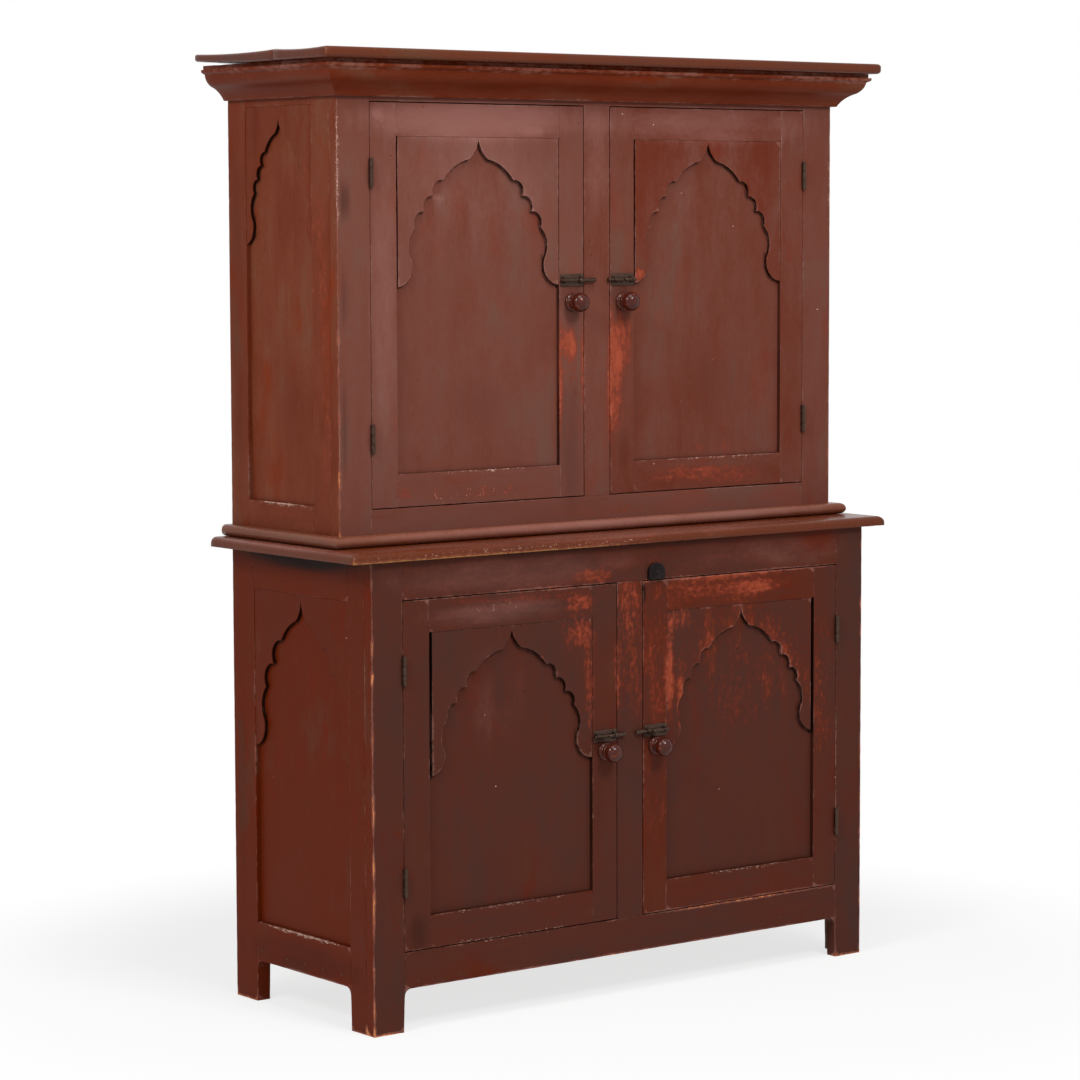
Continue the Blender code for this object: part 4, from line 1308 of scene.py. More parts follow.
@dataclass
class FaceFrame:
    """The frame round a case's doors: two stiles, two rails and the post between the doors."""

    case: str
    finishes: Finishes
    tone: float
    side_tone: float

    def board(self, part: str, bm: BMesh, grain: Grain, **more) -> None:
        """Builds one board of the frame.

        Args:
            part: the board's name.
            bm: the solid that it is made of.
            grain: its grain.
            more: other fields of its Timber.
        """
        worn = {"grain": grain, "tone": self.tone, "bare_side": (0, 1, 0), **more}
        board = Timber(f"{self.case}_{part}", "case", (f"{self.case}_face_frame",), **worn)
        board.build(bm, self.finishes)

    def build(self) -> None:
        """Builds the frame's five boards."""
        whole = Box.of(f"{self.case}_face_frame")
        door = Box.of(f"{self.case}_left_door_frame")
        outer = door.low.x - DOOR_GAP
        post = abs(door.high.x + DOOR_GAP)
        bottom, top = door.low.z - DOOR_GAP, door.high.z + DOOR_GAP
        near, far = whole.low.y, whole.high.y
        self.board("front_post", whole.part(x=(-post, post), z=(bottom, top)).mesh(), Grain.ALONG_Z)
        top_rail = whole.part(x=(outer, -outer), z=(top, whole.high.z)).mesh()
        self.board("front_top_rail", top_rail, Grain.ALONG_X)
        if self.case == "upper":
            low_rail = whole.part(x=(outer, -outer), z=(whole.low.z, bottom)).mesh()
        else:
            low_rail = Legs().rail(outer, -outer, bottom).slab(near, far)
        self.board("front_bottom_rail", low_rail, Grain.ALONG_X)
        for side in Side:
            span = (side.value * whole.high.x, side.value * abs(outer))
            if self.case == "upper":
                stile = whole.part(x=span).mesh()
            else:
                stile = Legs().stile(*span, whole.high.z).slab(near, far)
            self.board(f"front_{side.word}_stile", stile, Grain.ALONG_Z, flank_tone=self.side_tone)


@dataclass(frozen=True)
class ArchShape:
    """A scalloped ogee arch: its points as shares of half its width and of its height.

    Each run of the ogee and of the foot is how far across, how far below the peak, and the arc's
    rise as a share of its chord.
    """

    ogee: tuple = ((0.115, 0.135, -0.09), (0.43, 0.277, 0.10))
    scallop_end: tuple[float, float] = (0.77, 0.599)
    scallop_rise: float = 0.32
    foot: tuple = ((0.818, 0.817, 0.18), (0.827, 0.921, -0.10), (1.0, 1.0, -0.14))

    def flat(self, opening: Box, height: float, bridge: float, scallops: int) -> BMesh:
        """Draws the fret that fills an opening's top, with the arch cut in it.

        Args:
            opening: the opening, whose X and Z spans count.
            height: how far down the fret's feet reach.
            bridge: the wood left over the arch's peak.
            scallops: how many scallops each half of the arch has.

        Returns:
            The flat fret, in the XZ plane.
        """
        half = (opening.high.x - opening.low.x) / 2
        peak = opening.high.z - bridge
        drop = height - bridge
        start = self.ogee[-1]
        runs = list(self.ogee)
        for number in range(1, scallops + 1):
            share = number / scallops
            across = start[0] + (self.scallop_end[0] - start[0]) * share
            below = start[1] + (self.scallop_end[1] - start[1]) * share
            runs.append((across, below, self.scallop_rise))
        outline = Outline(0, peak, 9)
        for across, below, rise in (*runs, *self.foot):
            outline.arc(across * half, peak - below * drop, -rise)
        bm = outline.line(half, opening.high.z).line(0, opening.high.z).face()
        drawn = bm.verts[:] + bm.edges[:] + bm.faces[:]
        bmesh.ops.mirror(bm, geom=drawn, axis="X", merge_dist=TINY, matrix=Matrix.Identity(4))
        bmesh.ops.translate(bm, vec=(opening.middle().x, 0, 0), verts=bm.verts)
        return bm


@dataclass
class SideFrame:
    """One side of a case: two stiles, two rails, the panel and the scalloped fret glued to it."""

    case: str
    side: Side
    finishes: Finishes
    tone: float
    rebate: float = 0.0077

    @property
    def name(self) -> str:
        """The start of the names of the side's nodes."""
        return f"{self.case}_{self.side.word}_side"

    def turn(self) -> Matrix:
        """Turns a shape drawn for the front, inwards along +Y, to this side, inwards from its face.

        Returns:
            The turn.
        """
        face = Matrix(((0, -self.side.value, 0), (1, 0, 0), (0, 0, 1))).to_4x4()
        box = Box.of(f"{self.name}_frame")
        wall = box.low.x if self.side is Side.LEFT else box.high.x
        return Matrix.Translation((wall, 0, 0)) @ face

    def board(self, part: str, bm: BMesh, grain: Grain, node: str = "frame", **more) -> None:
        """Builds one board of the side from a shape drawn as if it were a front.

        Args:
            part: the board's name.
            bm: the shape.
            grain: its grain.
            node: the node that it stands for.
            more: other fields of its Timber.
        """
        bmesh.ops.transform(bm, matrix=self.turn(), verts=bm.verts)
        bmesh.ops.recalc_face_normals(bm, faces=bm.faces)
        worn = {"tone": self.tone, "bare_side": (-self.side.value, 0, 0), "coat": "sheltered", **more}
        board = Timber(f"{self.name}_{part}", "case", (f"{self.name}_{node}",), grain=grain, **worn)
        board.build(bm, self.finishes)

    def build(self) -> None:
        """Builds the four boards of the frame, the panel and the fret."""
        whole, panel = Box.of(f"{self.name}_frame"), Box.of(f"{self.name}_panel")
        depth = (0, whole.high.x - whole.low.x)
        low, high = panel.low.y + self.rebate, panel.high.y - self.rebate
        bottom, top = panel.low.z + self.rebate, panel.high.z - self.rebate
        near, far, base, head = whole.low.y, whole.high.y, whole.low.z, whole.high.z
        if self.case == "upper":
            front = Box.spanning((near, low), depth, (base, head)).mesh()
            rear = Box.spanning((high, far), depth, (base, head)).mesh()
            rail = Box.spanning((low, high), depth, (base, bottom)).mesh()
        else:
            front = Legs().stile(near, low, head).slab(*depth)
            rear = Legs().stile(far, high, head).slab(*depth)
            rail = Legs().rail(low, high, bottom).slab(*depth)
        self.board("front_stile", front, Grain.ALONG_Z)
        self.board("rear_stile", rear, Grain.ALONG_Z)
        self.board("bottom_rail", rail, Grain.ALONG_Y)
        self.board("top_rail", Box.spanning((low, high), depth, (top, head)).mesh(), Grain.ALONG_Y)
        sheet = Box.spanning((low, high), (PANEL_FACE, PANEL_FACE + PANEL_THICK), (bottom, top))
        height, bridge, scallops = (0.267, 0.019, 3) if self.case == "upper" else (0.314, 0.013, 2)
        fret = ArchShape().flat(sheet, height, bridge, scallops)
        fret = thicken(fret, FRET_SETBACK, FRET_SETBACK + FRET_THICK)
        placed = fret.copy()
        bmesh.ops.transform(placed, matrix=self.turn(), verts=placed.verts)
        # The panel gets painted shade in the corner under the fret, and the fret's walls behind its face are
        # painted dark as shade
        worn = {"edge_wear": 0.2, "step": 0.009, "crevice": EdgeFinder(placed)}
        placed.free()
        self.board("panel_board", sheet.mesh(), Grain.ALONG_Z, "panel", **worn)
        self.board("fret", fret, Grain.ALONG_Z, "panel", edge_wear=0.6, wall_grime=1.1)


# The doors


@dataclass
class Knob:
    """A turned knob: a flared rose, a spool neck, a bead and a flattened round head."""

    door: str
    finishes: Finishes
    rose: float = 0.0178
    neck: float = 0.0132
    bead: float = 0.0142
    head: float = 0.0194
    head_centre: float = 0.0287
    reach: float = 0.044

    def build(self) -> None:
        """Turns the knob and sets it on its door."""
        node = f"{self.door}_knob"
        box = Box.of(node)
        half = self.reach - self.head_centre
        turning = Outline(0, FIT_GAP, 7).line(self.rose - 0.0008, FIT_GAP).line(self.rose, 0.0012)
        turning.arc(self.rose - 0.0014, 0.0062, 0.20).arc(self.neck, 0.0104, -0.20)
        turning.line(self.neck, 0.0122).arc(self.bead - 0.0004, 0.0164, 0.40)
        turning.line(self.neck + 0.0003, 0.0170).arc(self.head, self.head_centre, 0.14)
        turning.arc(self.head * 0.72, self.head_centre + half * 0.70, 0.13).arc(0, self.reach, 0.13)
        middle = box.middle()
        bm = turning.turned((middle.x, box.high.y + FIT_GAP, middle.z), Facing.FRONT, 56)
        Piece(f"{self.door}_turned_knob", self.door, (node,), "turned_knob").place(bm, self.finishes.knob)


@dataclass
class SlidingBolt:
    """A small iron barrel bolt: a plate, two half-round guides, screws, and a rod with its thumb knob."""

    corner: str
    side: Side
    finishes: Finishes
    plate_thick: float = 0.0015
    plate_soft: float = 0.0005
    rod_radius: float = 0.0038
    rod_axis: float = 0.0060
    guide_wall: float = 0.0010
    guide_play: float = 0.0004
    guide_width: float = 0.007
    guide_inset: float = 0.0045
    flange: float = 0.0035
    screw_radius: float = 0.0021
    screw_inset: float = 0.0036
    thumb_radius: float = 0.004
    thumb_clear: float = 0.002

    @property
    def last_guide(self) -> float:
        """How far the second guide is from the door's edge."""
        return DOOR_STILE - self.guide_inset - self.guide_width

    def build(self) -> None:
        """Builds the plate with its guides and screws, and the rod."""
        plate, rod = Box.of(f"{self.corner}_bolt_plate"), Box.of(f"{self.corner}_bolt")
        leaf = Box.of(f"{self.corner}_door_frame")
        edge = leaf.low.x if self.side is Side.RIGHT else leaf.high.x
        axis = (edge, plate.high.y + FIT_GAP - self.rod_axis, plate.middle().z)
        self.build_plate(plate, axis)
        self.build_rod(rod, axis)

    def build_plate(self, plate: Box, axis: Triple) -> None:
        """Builds the plate: a thin sheet, two bands bent over the rod, and four screw heads.

        Args:
            plate: the block that the plate fills.
            axis: the point of the rod's axis over the door's edge.
        """
        front = plate.high.y - self.plate_thick
        bm = plate.part(y=(front, plate.high.y)).mesh()
        soften(bm, self.plate_soft)
        for start in (self.guide_inset, self.last_guide):
            near = axis[0] + self.side.value * start
            self.band(bm, (near, near + self.side.value * self.guide_width), front, axis)
        for across in (plate.low.x + self.screw_inset, plate.high.x - self.screw_inset):
            for up in (plate.low.z + self.screw_inset, plate.high.z - self.screw_inset):
                screw(bm, (across, front, up), self.screw_radius)
        tidy(bm)
        name = f"{self.corner}_bolt_plate"
        piece = Piece(f"{name}_sheet", f"{self.corner}_door", (name,), "wrought_iron")
        piece.place(bm, self.finishes.iron)

    def band(self, bm: BMesh, span: tuple, front: float, axis: Triple) -> None:
        """Adds one half-round guide, with a flat foot above and below the rod.

        Args:
            bm: the plate's mesh.
            span: the guide's two ends along X.
            front: the plate's face.
            axis: the point of the rod's axis over the door's edge.
        """
        inner = self.rod_radius + self.guide_play
        outer = inner + self.guide_wall
        _, axis_y, height = axis
        low, high = min(span), max(span)
        corners = [(low, inner), (high, inner), (high, outer), (low, outer)]
        strip = bm.faces.new([bm.verts.new((across, axis_y, height + up)) for across, up in corners])
        centre = (0, axis_y, height)
        bmesh.ops.spin(
            bm, geom=[strip], cent=centre, axis=(1, 0, 0), angle=math.pi, steps=16, use_merge=False
        )
        for sign in (-1, 1):
            for reach, depth in ((outer, axis_y), (outer + self.flange, front - self.guide_wall)):
                heights = (height + sign * inner, height + sign * reach)
                Box.spanning(span, (depth, front), heights).add_to(bm)

    def build_rod(self, rod: Box, axis: Triple) -> None:
        """Builds the rod with its rounded ends, and a thumb knob between the guides.

        Args:
            rod: the block that the rod fills.
            axis: the point of the rod's axis over the door's edge.
        """
        length = rod.high.x - rod.low.x
        radius = self.rod_radius
        turning = Outline(0, 0, 6).line(radius - 0.0012, 0).arc(radius, 0.0012, 0.207)
        turning.line(radius, length - 0.0016).arc(radius - 0.0016, length, 0.207).line(0, length)
        edge, axis_y, height = axis
        bm = turning.turned((rod.low.x, axis_y, height), Facing.RIGHT, 28)
        reach = (rod.high.x - edge) if self.side is Side.LEFT else (edge - rod.low.x)
        thumb_at = edge + self.side.value * (self.last_guide - self.thumb_radius - self.thumb_clear - reach)
        knob = Outline(0, 0, 6).line(0.0022, 0).line(0.0020, radius + 0.0008)
        knob.arc(self.thumb_radius, radius + 0.0030, 0.2).arc(0, radius + 0.0062, 0.24)
        join(bm, knob.turned((thumb_at, axis_y, height), Facing.FRONT, 24))
        name = f"{self.corner}_bolt"
        Piece(f"{name}_rod", f"{name}_slide", (name,), "wrought_iron").place(bm, self.finishes.iron)


def join(bm: BMesh, other: BMesh) -> None:
    """Adds another mesh to a mesh, and uses it up.

    Args:
        bm: the mesh.
        other: the mesh that is added.
    """
    mesh = bpy.data.meshes.new("joined")
    other.to_mesh(mesh)
    other.free()
    bm.from_mesh(mesh)
    bpy.data.meshes.remove(mesh)


def screw(bm: BMesh, place: tuple, radius: float, facing: Facing = Facing.FRONT) -> None:
    """Adds a small domed head.

    Args:
        bm: the mesh that the head is added to.
        place: the middle of its seat.
        radius: the head's radius.
        facing: the way that it looks.
    """
    dome = Outline(radius, 0, 5).arc(0, radius * 0.45, 0.12)
    join(bm, dome.turned(place, facing, 16))


@dataclass
class ButtHinge:
    """One butt hinge: a leaf let into the case and one into the door, with three knuckles on a pin."""

    corner: str
    level: str
    side: Side
    finishes: Finishes
    radius: float = 0.0042
    pin: float = 0.0019
    leaf_depth: float = 0.018
    leaf_thick: float = 0.0012
    leaf_soft: float = 0.0002
    knuckle_soft: float = 0.0004
    gap: float = 0.0003
    standoff: float = 0.0045
    dome: float = 0.0006

    def build(self) -> None:
        """Builds the case's leaf with the end knuckles and the pin, and the door's with the middle one."""
        hinge, door = f"{self.corner}_{self.level}_hinge", f"{self.corner}_door"
        case_node, door_node = f"{hinge}_case_leaf", f"{hinge}_door_leaf"
        low, high = Box.of(case_node).low.z, Box.of(case_node).high.z
        third = (high - low) / 3
        leaf = Box.of(f"{door}_frame")
        edge = leaf.low.x if self.side is Side.LEFT else leaf.high.x
        place = (edge + self.side.value * DOOR_GAP / 2, leaf.low.y - self.standoff, 0)
        ends = ((low, low + third), (high - third, high))
        middle = ((low + third + self.gap, high - third - self.gap),)
        for node, body, spans in ((case_node, "case", ends), (door_node, door, middle)):
            box = Box.of(node)
            far = box.high.x if box.middle().x > place[0] else box.low.x
            sheet = (far, far - math.copysign(self.leaf_thick, far - place[0]))
            fold = box.high.y - self.leaf_depth
            bm = box.part(x=sheet, y=(fold, box.high.y)).mesh()
            for span in spans:
                box.part(x=sheet, y=(place[1] + self.pin, fold + TINY), z=span).add_to(bm)
            soften(bm, self.leaf_soft, 1)
            for start, end in spans:
                self.add_knuckle(bm, place, start, end)
            if body == "case":
                self.add_pin(bm, place, low, high)
            tidy(bm)
            name = node.replace("_leaf", "_plate")
            Piece(name, body, (node,), "wrought_iron").place(bm, self.finishes.iron)

    def add_knuckle(self, bm: BMesh, place: tuple, low: float, high: float) -> None:
        """Adds one knuckle to a leaf: a short tube with softened ends.

        Args:
            bm: the leaf.
            place: where the pin stands.
            low: its foot.
            high: its top.
        """
        bore, radius, soft = self.pin + self.gap, self.radius, self.knuckle_soft
        tube = Outline(bore, low, 3).line(radius - soft, low).line(radius, low + soft)
        tube.line(radius, high - soft).line(radius - soft, high).line(bore, high).line(bore, low)
        join(bm, tube.turned(place, Facing.UP, 28))

    def add_pin(self, bm: BMesh, place: tuple, low: float, high: float) -> None:
        """Adds the pin to a leaf, with its slightly domed ends.

        Args:
            bm: the leaf.
            place: where the pin stands.
            low: the leaf's foot.
            high: its top.
        """
        dome, soft = self.dome, self.knuckle_soft
        shoulder = dome - soft
        rod = Outline(0, low - dome, 3).line(self.pin - soft, low - dome).line(self.pin, low - shoulder)
        rod.line(self.pin, high + shoulder).line(self.pin - soft, high + dome).line(0, high + dome)
        join(bm, rod.turned(place, Facing.UP, 20))


@dataclass(frozen=True)
class Shrinkage:
    """How far a fret has shrunk from the left and the right of its opening."""

    left: float
    right: float


@dataclass
class Door:
    """One door: two stiles, two rails, a panel, a fret, and the knob, bolt and hinges on it."""

    case: str
    side: Side
    finishes: Finishes
    tone: float
    shrinkage: Shrinkage
    rail: float = 0.064
    # How far the paint fills the gap on the hinges' side
    paint_fill: float = 0.0009
    # The painted shadow in a fret's gaps: how thick it lies on their walls, how far behind the face it
    # starts there, how far it reaches under the stiles and past the fret's foot, and how wide a gap has
    # to be for it to show on the stile.
    hair: float = 0.0002
    dirt_behind: float = 0.0015
    dirt_in: float = 0.001
    dirt_past: float = 0.004
    wide_gap: float = 0.005

    @property
    def name(self) -> str:
        """The door's body, and the start of its nodes' names."""
        return f"{self.case}_{self.side.word}_door"

    def board(self, part: str, bm: BMesh, grain: Grain, node: str = "frame", **more) -> None:
        """Builds one board of the door.

        Args:
            part: the board's name.
            bm: the solid that it is made of.
            grain: its grain.
            node: the node that it stands for.
            more: other fields of its Timber.
        """
        # Their edges behind the face are painted dark as shade
        worn = {"tone": self.tone, "bare_side": (0, 1, 0), "wall_grime": 0.6, **more}
        board = Timber(f"{self.name}_{part}", self.name, (f"{self.name}_{node}",), grain=grain, **worn)
        board.build(bm, self.finishes)

    def build(self) -> None:
        """Builds the frame, the panel with its fret, and the fittings."""
        leaf = Box.of(f"{self.name}_frame")
        hinged, free = leaf.low.x, leaf.high.x
        if self.side is Side.RIGHT:
            hinged, free = free, hinged
        leaf = leaf.part(x=(free, hinged + self.side.value * self.paint_fill))
        across = (leaf.low.x + DOOR_STILE, leaf.high.x - DOOR_STILE)
        up = (leaf.low.z + self.rail, leaf.high.z - self.rail)
        # How far down the fret's feet reach, and the wood left over the arch's peak
        height, bridge = (0.289, 0.004) if self.case == "upper" else (0.279, 0.009)
        self.build_frame(leaf, across, up, up[1] - height)
        self.build_panel(leaf.low.y, across, up, height, bridge)
        corner = f"{self.case}_{self.side.word}"
        Knob(self.name, self.finishes).build()
        SlidingBolt(corner, self.side, self.finishes).build()
        for level in ("bottom", "top"):
            ButtHinge(corner, level, self.side, self.finishes).build()

    def build_frame(self, leaf: Box, across: tuple, up: tuple, foot: float) -> None:
        """Builds the two stiles and the two rails.

        Args:
            leaf: the block that the frame fills.
            across: the span along X that it leaves open.
            up: the span along Z that it leaves open.
            foot: how high the fret's feet are.
        """
        (left, right), (bottom, top) = across, up
        # The right stile's inner wall is painted dark as shadow where a wide gap shows it
        wall = (right - self.hair, right + self.hair)
        inner_edge = leaf.part(x=wall, y=(leaf.low.y + self.dirt_behind, leaf.high.y), z=(foot, top))
        gap_shadow = {"cuts": {2: [foot]}, "shadows": (inner_edge,) if self.shrinkage.right > self.wide_gap else ()}
        for part, spans, grain, more in (
            ("left_stile", {"x": (leaf.low.x, left)}, Grain.ALONG_Z, {}),
            ("right_stile", {"x": (right, leaf.high.x)}, Grain.ALONG_Z, gap_shadow),
            ("bottom_rail", {"x": across, "z": (leaf.low.z, bottom)}, Grain.ALONG_X, {}),
            ("top_rail", {"x": across, "z": (top, leaf.high.z)}, Grain.ALONG_X, {}),
        ):
            self.board(part, leaf.part(**spans).mesh(), grain, **more)

    def build_panel(self, face: float, across: tuple, up: tuple, height: float, bridge: float) -> None:
        """Builds the panel, and the fret that has shrunk in front of it.

        Args:
            face: where the door's face is.
            across: the opening's span along X.
            up: the opening's span along Z.
            height: how far down the fret's feet reach.
            bridge: the wood left over the arch's peak.
        """
        depths = (face + PANEL_FACE, face + PANEL_FACE + PANEL_THICK)
        sheet = Box.spanning(across, depths, up)
        left_gap, right_gap = across[0] + self.shrinkage.left, across[1] - self.shrinkage.right
        flat = ArchShape().flat(sheet, height, bridge, 3)
        cut_at(flat, 0, [left_gap], clear=-1)
        cut_at(flat, 0, [right_gap], clear=1)
        fret = thicken(flat, face + FRET_SETBACK, face + FRET_SETBACK + FRET_THICK)
        # The painted shadow behind each gap ends at an edge, and a second cut beyond it keeps it from
        # spreading.
        edges = (left_gap + 0.0022, right_gap - 0.0012)
        cuts = [edges[0], left_gap + 0.003, right_gap - 0.002, edges[1]]
        heights = (up[1] - height - self.dirt_past, up[1] + self.dirt_in)
        # The panel is painted dark as shadow behind the gaps, and shaded in the corner under the fret
        worn = {
            "edge_wear": 0.2,
            "step": 0.009,
            "cuts": {0: cuts, 2: [heights[0]]},
            "shadows": (
                sheet.part(x=(across[0] - self.dirt_in, edges[0]), z=heights),
                sheet.part(x=(edges[1], across[1] + self.dirt_in), z=heights),
            ),
            "crevice": EdgeFinder(fret),
        }
        self.board("panel_board", sheet.mesh(), Grain.ALONG_Z, "panel", **worn)
        # The fret's cut sides at the gaps are painted dark as shadow, and its walls behind the face as shade
        cheeks = tuple(
            sheet.part(x=(gap - self.hair, gap + self.hair), y=(face, depths[1]))
            for gap in (left_gap, right_gap)
        )
        worn = {"edge_wear": 0.78, "wall_grime": 1.0, "shadows": cheeks}
        self.board("fret_board", fret, Grain.ALONG_Z, "fret", **worn)


# Tops, mouldings and inner boards


def build_run(
    name: str, node: str, tone: float, bm: BMesh, finishes: Finishes, coat: str = "polished", **more
) -> None:
    """Builds a board or a moulding that runs along the front and round the ends of a case.

    Args:
        name: the piece's name.
        node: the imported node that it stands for.
        tone: the tone of its paint.
        bm: its solid.
        finishes: the cupboard's finishes.
        coat: which of the finishes it has.
        more: other fields of its Timber.
    """
    shared = {"grain": Grain.ALONG_X, "smooth": True, "wraps": True}
    Timber(name, "case", (node,), tone=tone, coat=coat, **shared, **more).build(bm, finishes)


@dataclass
class Counter:
    """The counter board between the cases, with a round nose at its front and ends."""

    finishes: Finishes
    nose: float = 0.013
    tone: float = 0.46

    def build(self) -> None:
        """Builds the board and wears its nose."""
        box = Box.of("counter_top")
        middle, front = box.middle(), box.low.y
        bm = box.mesh()
        edges = [
            edge
            for edge in bm.edges
            if all(vert.co.z > middle.z for vert in edge.verts)
            and not all(vert.co.y > middle.y for vert in edge.verts)
        ]
        round_over(bm, edges, self.nose, 8)
        for kind, centre, reach, strength in (
            (Wear.EDGE, (-0.38, front, box.low.z + 0.003), (0.42, 0.014, 0.012), 0.86),
            (Wear.CHIP, (-0.30, front, box.low.z + 0.008), (0.50, 0.012, 0.008), 0.52),
            (Wear.RUB, (0.2, front, box.high.z - 0.008), (0.60, 0.012, 0.010), 0.25),
            # Pale haze on the top: dust, and painted sheen where light falls on it
            (Wear.HAZE, (0.0, -0.20, box.high.z), (0.72, 0.06, 0.008), 0.55),
            (Wear.HAZE, (-0.68, 0.05, box.high.z), (0.04, 0.30, 0.008), 0.6),
        ):
            WEAR_MAP.add(kind, centre, reach, strength)
        build_run("counter_board", "counter_top", self.tone, bm, self.finishes, edge_wear=0.64)


@dataclass
class Moulding:
    """A moulding mitred round a case's front and both sides."""

    node: str
    finishes: Finishes
    tone: float
    coat: str

    def profile(self) -> Outline:
        """The moulding's section, as reach from the wall and height.

        Returns:
            The section, not closed yet.
        """
        box = Box.of(self.node)
        base = box.low.z
        if self.node == "waist_moulding":
            radius = (box.high.z - base) / 2
            flat = 0.026 - radius
            section = Outline(0, base).line(flat, base).arc(flat + radius, base + radius, QUARTER_RISE)
            return section.arc(flat, base + 2 * radius, QUARTER_RISE).line(0, base + 2 * radius)
        section = Outline(0, base).line(0.009, base).arc(0.038, base + 0.027, -0.095)
        section.arc(0.053, base + 0.050, 0.11).line(0.0605, base + 0.0540).line(0.061, base + 0.0595)
        return section.line(0.056, base + 0.0595).line(0.056, box.high.z).line(0, box.high.z)

    def build(self) -> None:
        """Sweeps the section round the case, with mitred corners."""
        box = Box.of(self.node)
        wall, ahead, back = CASE_HALF + FIT_GAP, WEAR_MAP.upper_front - FIT_GAP, box.high.y
        bm = self.profile().face()
        end = bm.faces[:][0]
        for vert in bm.verts:
            vert.co = (-wall - vert.co.x, back, vert.co.z)
        for number in range(3):
            grown = bmesh.ops.extrude_face_region(bm, geom=[end], use_keep_orig=number == 0)["geom"]
            end = next(item for item in grown if isinstance(item, bmesh.types.BMFace))
            for vert in end.verts:
                across, depth, up = vert.co
                vert.co = (
                    (across, ahead + across + wall, up),  # to the left front corner
                    (wall + ahead - depth, depth, up),  # along the front to the right corner
                    (across, back, up),  # along the right side to the back
                )[number]
        tidy(bm)
        # A painted highlight: a pale band along the nose of the waist moulding
        if self.node == "waist_moulding":
            middle = (0.0, ahead - 0.022, box.middle().z + 0.004)
            WEAR_MAP.add(Wear.HAZE, middle, (0.70, 0.022, 0.014), 0.75)
        worn = {"coat": self.coat, "edge_wear": 0.80, "step": 0.02}
        build_run(f"{self.node}_run", self.node, self.tone, bm, self.finishes, **worn)


@dataclass
class Cornice:
    """The cornice top: two planks with rounded noses, cupped a little, the rear one lifting at its end."""

    finishes: Finishes
    tone: float = 0.4
    nose: float = 0.007
    front_share: float = 0.39
    joint: float = 0.0008
    cup: float = 0.003
    lift: float = 0.007
    # The lift starts at this share of the rear plank's depth, and at this far left of the middle,
    # from where it takes as far again to be full.
    lift_from: float = 0.35

    def build(self) -> None:
        """Builds both planks."""
        box = Box.of("cornice_top")
        joint = box.low.y + (box.high.y - box.low.y) * self.front_share
        self.plank("front", box.part(y=(box.low.y, joint - self.joint / 2)), box.low.y)
        self.plank("rear", box.part(y=(joint + self.joint / 2, box.high.y)), box.low.y)

    def plank(self, word: str, part: Box, front: float) -> None:
        """Builds one plank, rounds its outer edges and bends it.

        Args:
            word: which plank it is.
            part: the block that it fills.
            front: where the cornice's front edge is.
        """
        bm = part.mesh()
        middle = part.middle()
        edges = []
        for edge in bm.edges:
            one, other = (vert.co for vert in edge.verts)
            level = (one.z > middle.z) == (other.z > middle.z)
            ahead = max(abs(one.y - front), abs(other.y - front)) < TINY
            if level and (ahead or abs(one.x - other.x) < TINY):
                edges.append(edge)
        round_over(bm, edges, self.nose, 6)
        cut_grid(bm, 0.03)
        depth = part.high.y - part.low.y
        for vert in bm.verts:
            top = (vert.co.z - part.low.z) / (part.high.z - part.low.z)
            share = 1 - ((vert.co.y - middle.y) / (depth / 2)) ** 2
            vert.co.z -= self.cup * share * top
            if word == "rear":
                start = self.lift_from
                back = max(0.0, (vert.co.y - part.low.y) / depth - start) / (1 - start)
                left = max(0.0, -(vert.co.x + start) / start)
                vert.co.z += self.lift * back * min(1.0, left) * (1 - top)
        worn = {"edge_wear": 0.80, "step": 0.02}
        build_run(f"cornice_{word}_plank", "cornice_top", self.tone, bm, self.finishes, **worn)


@dataclass
class InnerBoards:
    """The floor, the shelves and the back boards, each made of several bare planks."""

    finishes: Finishes
    plank: float = 0.16
    joint: float = 0.0003
    uneven: float = 0.016

    def build(self) -> None:
        """Builds the planks: shelves run across, back boards run up."""
        for node in ("lower_floor", "lower_shelf", "upper_shelf"):
            self.split(node, "y", Grain.ALONG_X)
        for node in ("lower_back_boards", "upper_back_boards"):
            self.split(node, "x", Grain.ALONG_Z)

    def split(self, node: str, axis: str, grain: Grain) -> None:
        """Builds one board of planks side by side along an axis.

        Args:
            node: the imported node.
            axis: the axis that they lie along.
            grain: their grain.
        """
        box = Box.of(node)
        start, end = getattr(box.low, axis), getattr(box.high, axis)
        count = max(2, round((end - start) / self.plank))
        chance = random.Random(node)
        seams = [
            start + (end - start) * number / count + chance.uniform(-self.uneven, self.uneven)
            for number in range(1, count)
        ]
        worn = {"tone": 0.5, "coat": "pine", "slot": "bare_pine", "arris": 0.0016, "step": 0.05}
        for number, (low, high) in enumerate(zip([start, *seams], [*seams, end])):
            low += self.joint / 2 if number else 0
            high -= self.joint / 2 if number < count - 1 else 0
            board = box.part(**{axis: (low, high)}).mesh()
            name = f"{node}_plank_{number + 1}"
            Timber(name, "case", (node,), grain=grain, **worn).build(board, self.finishes)


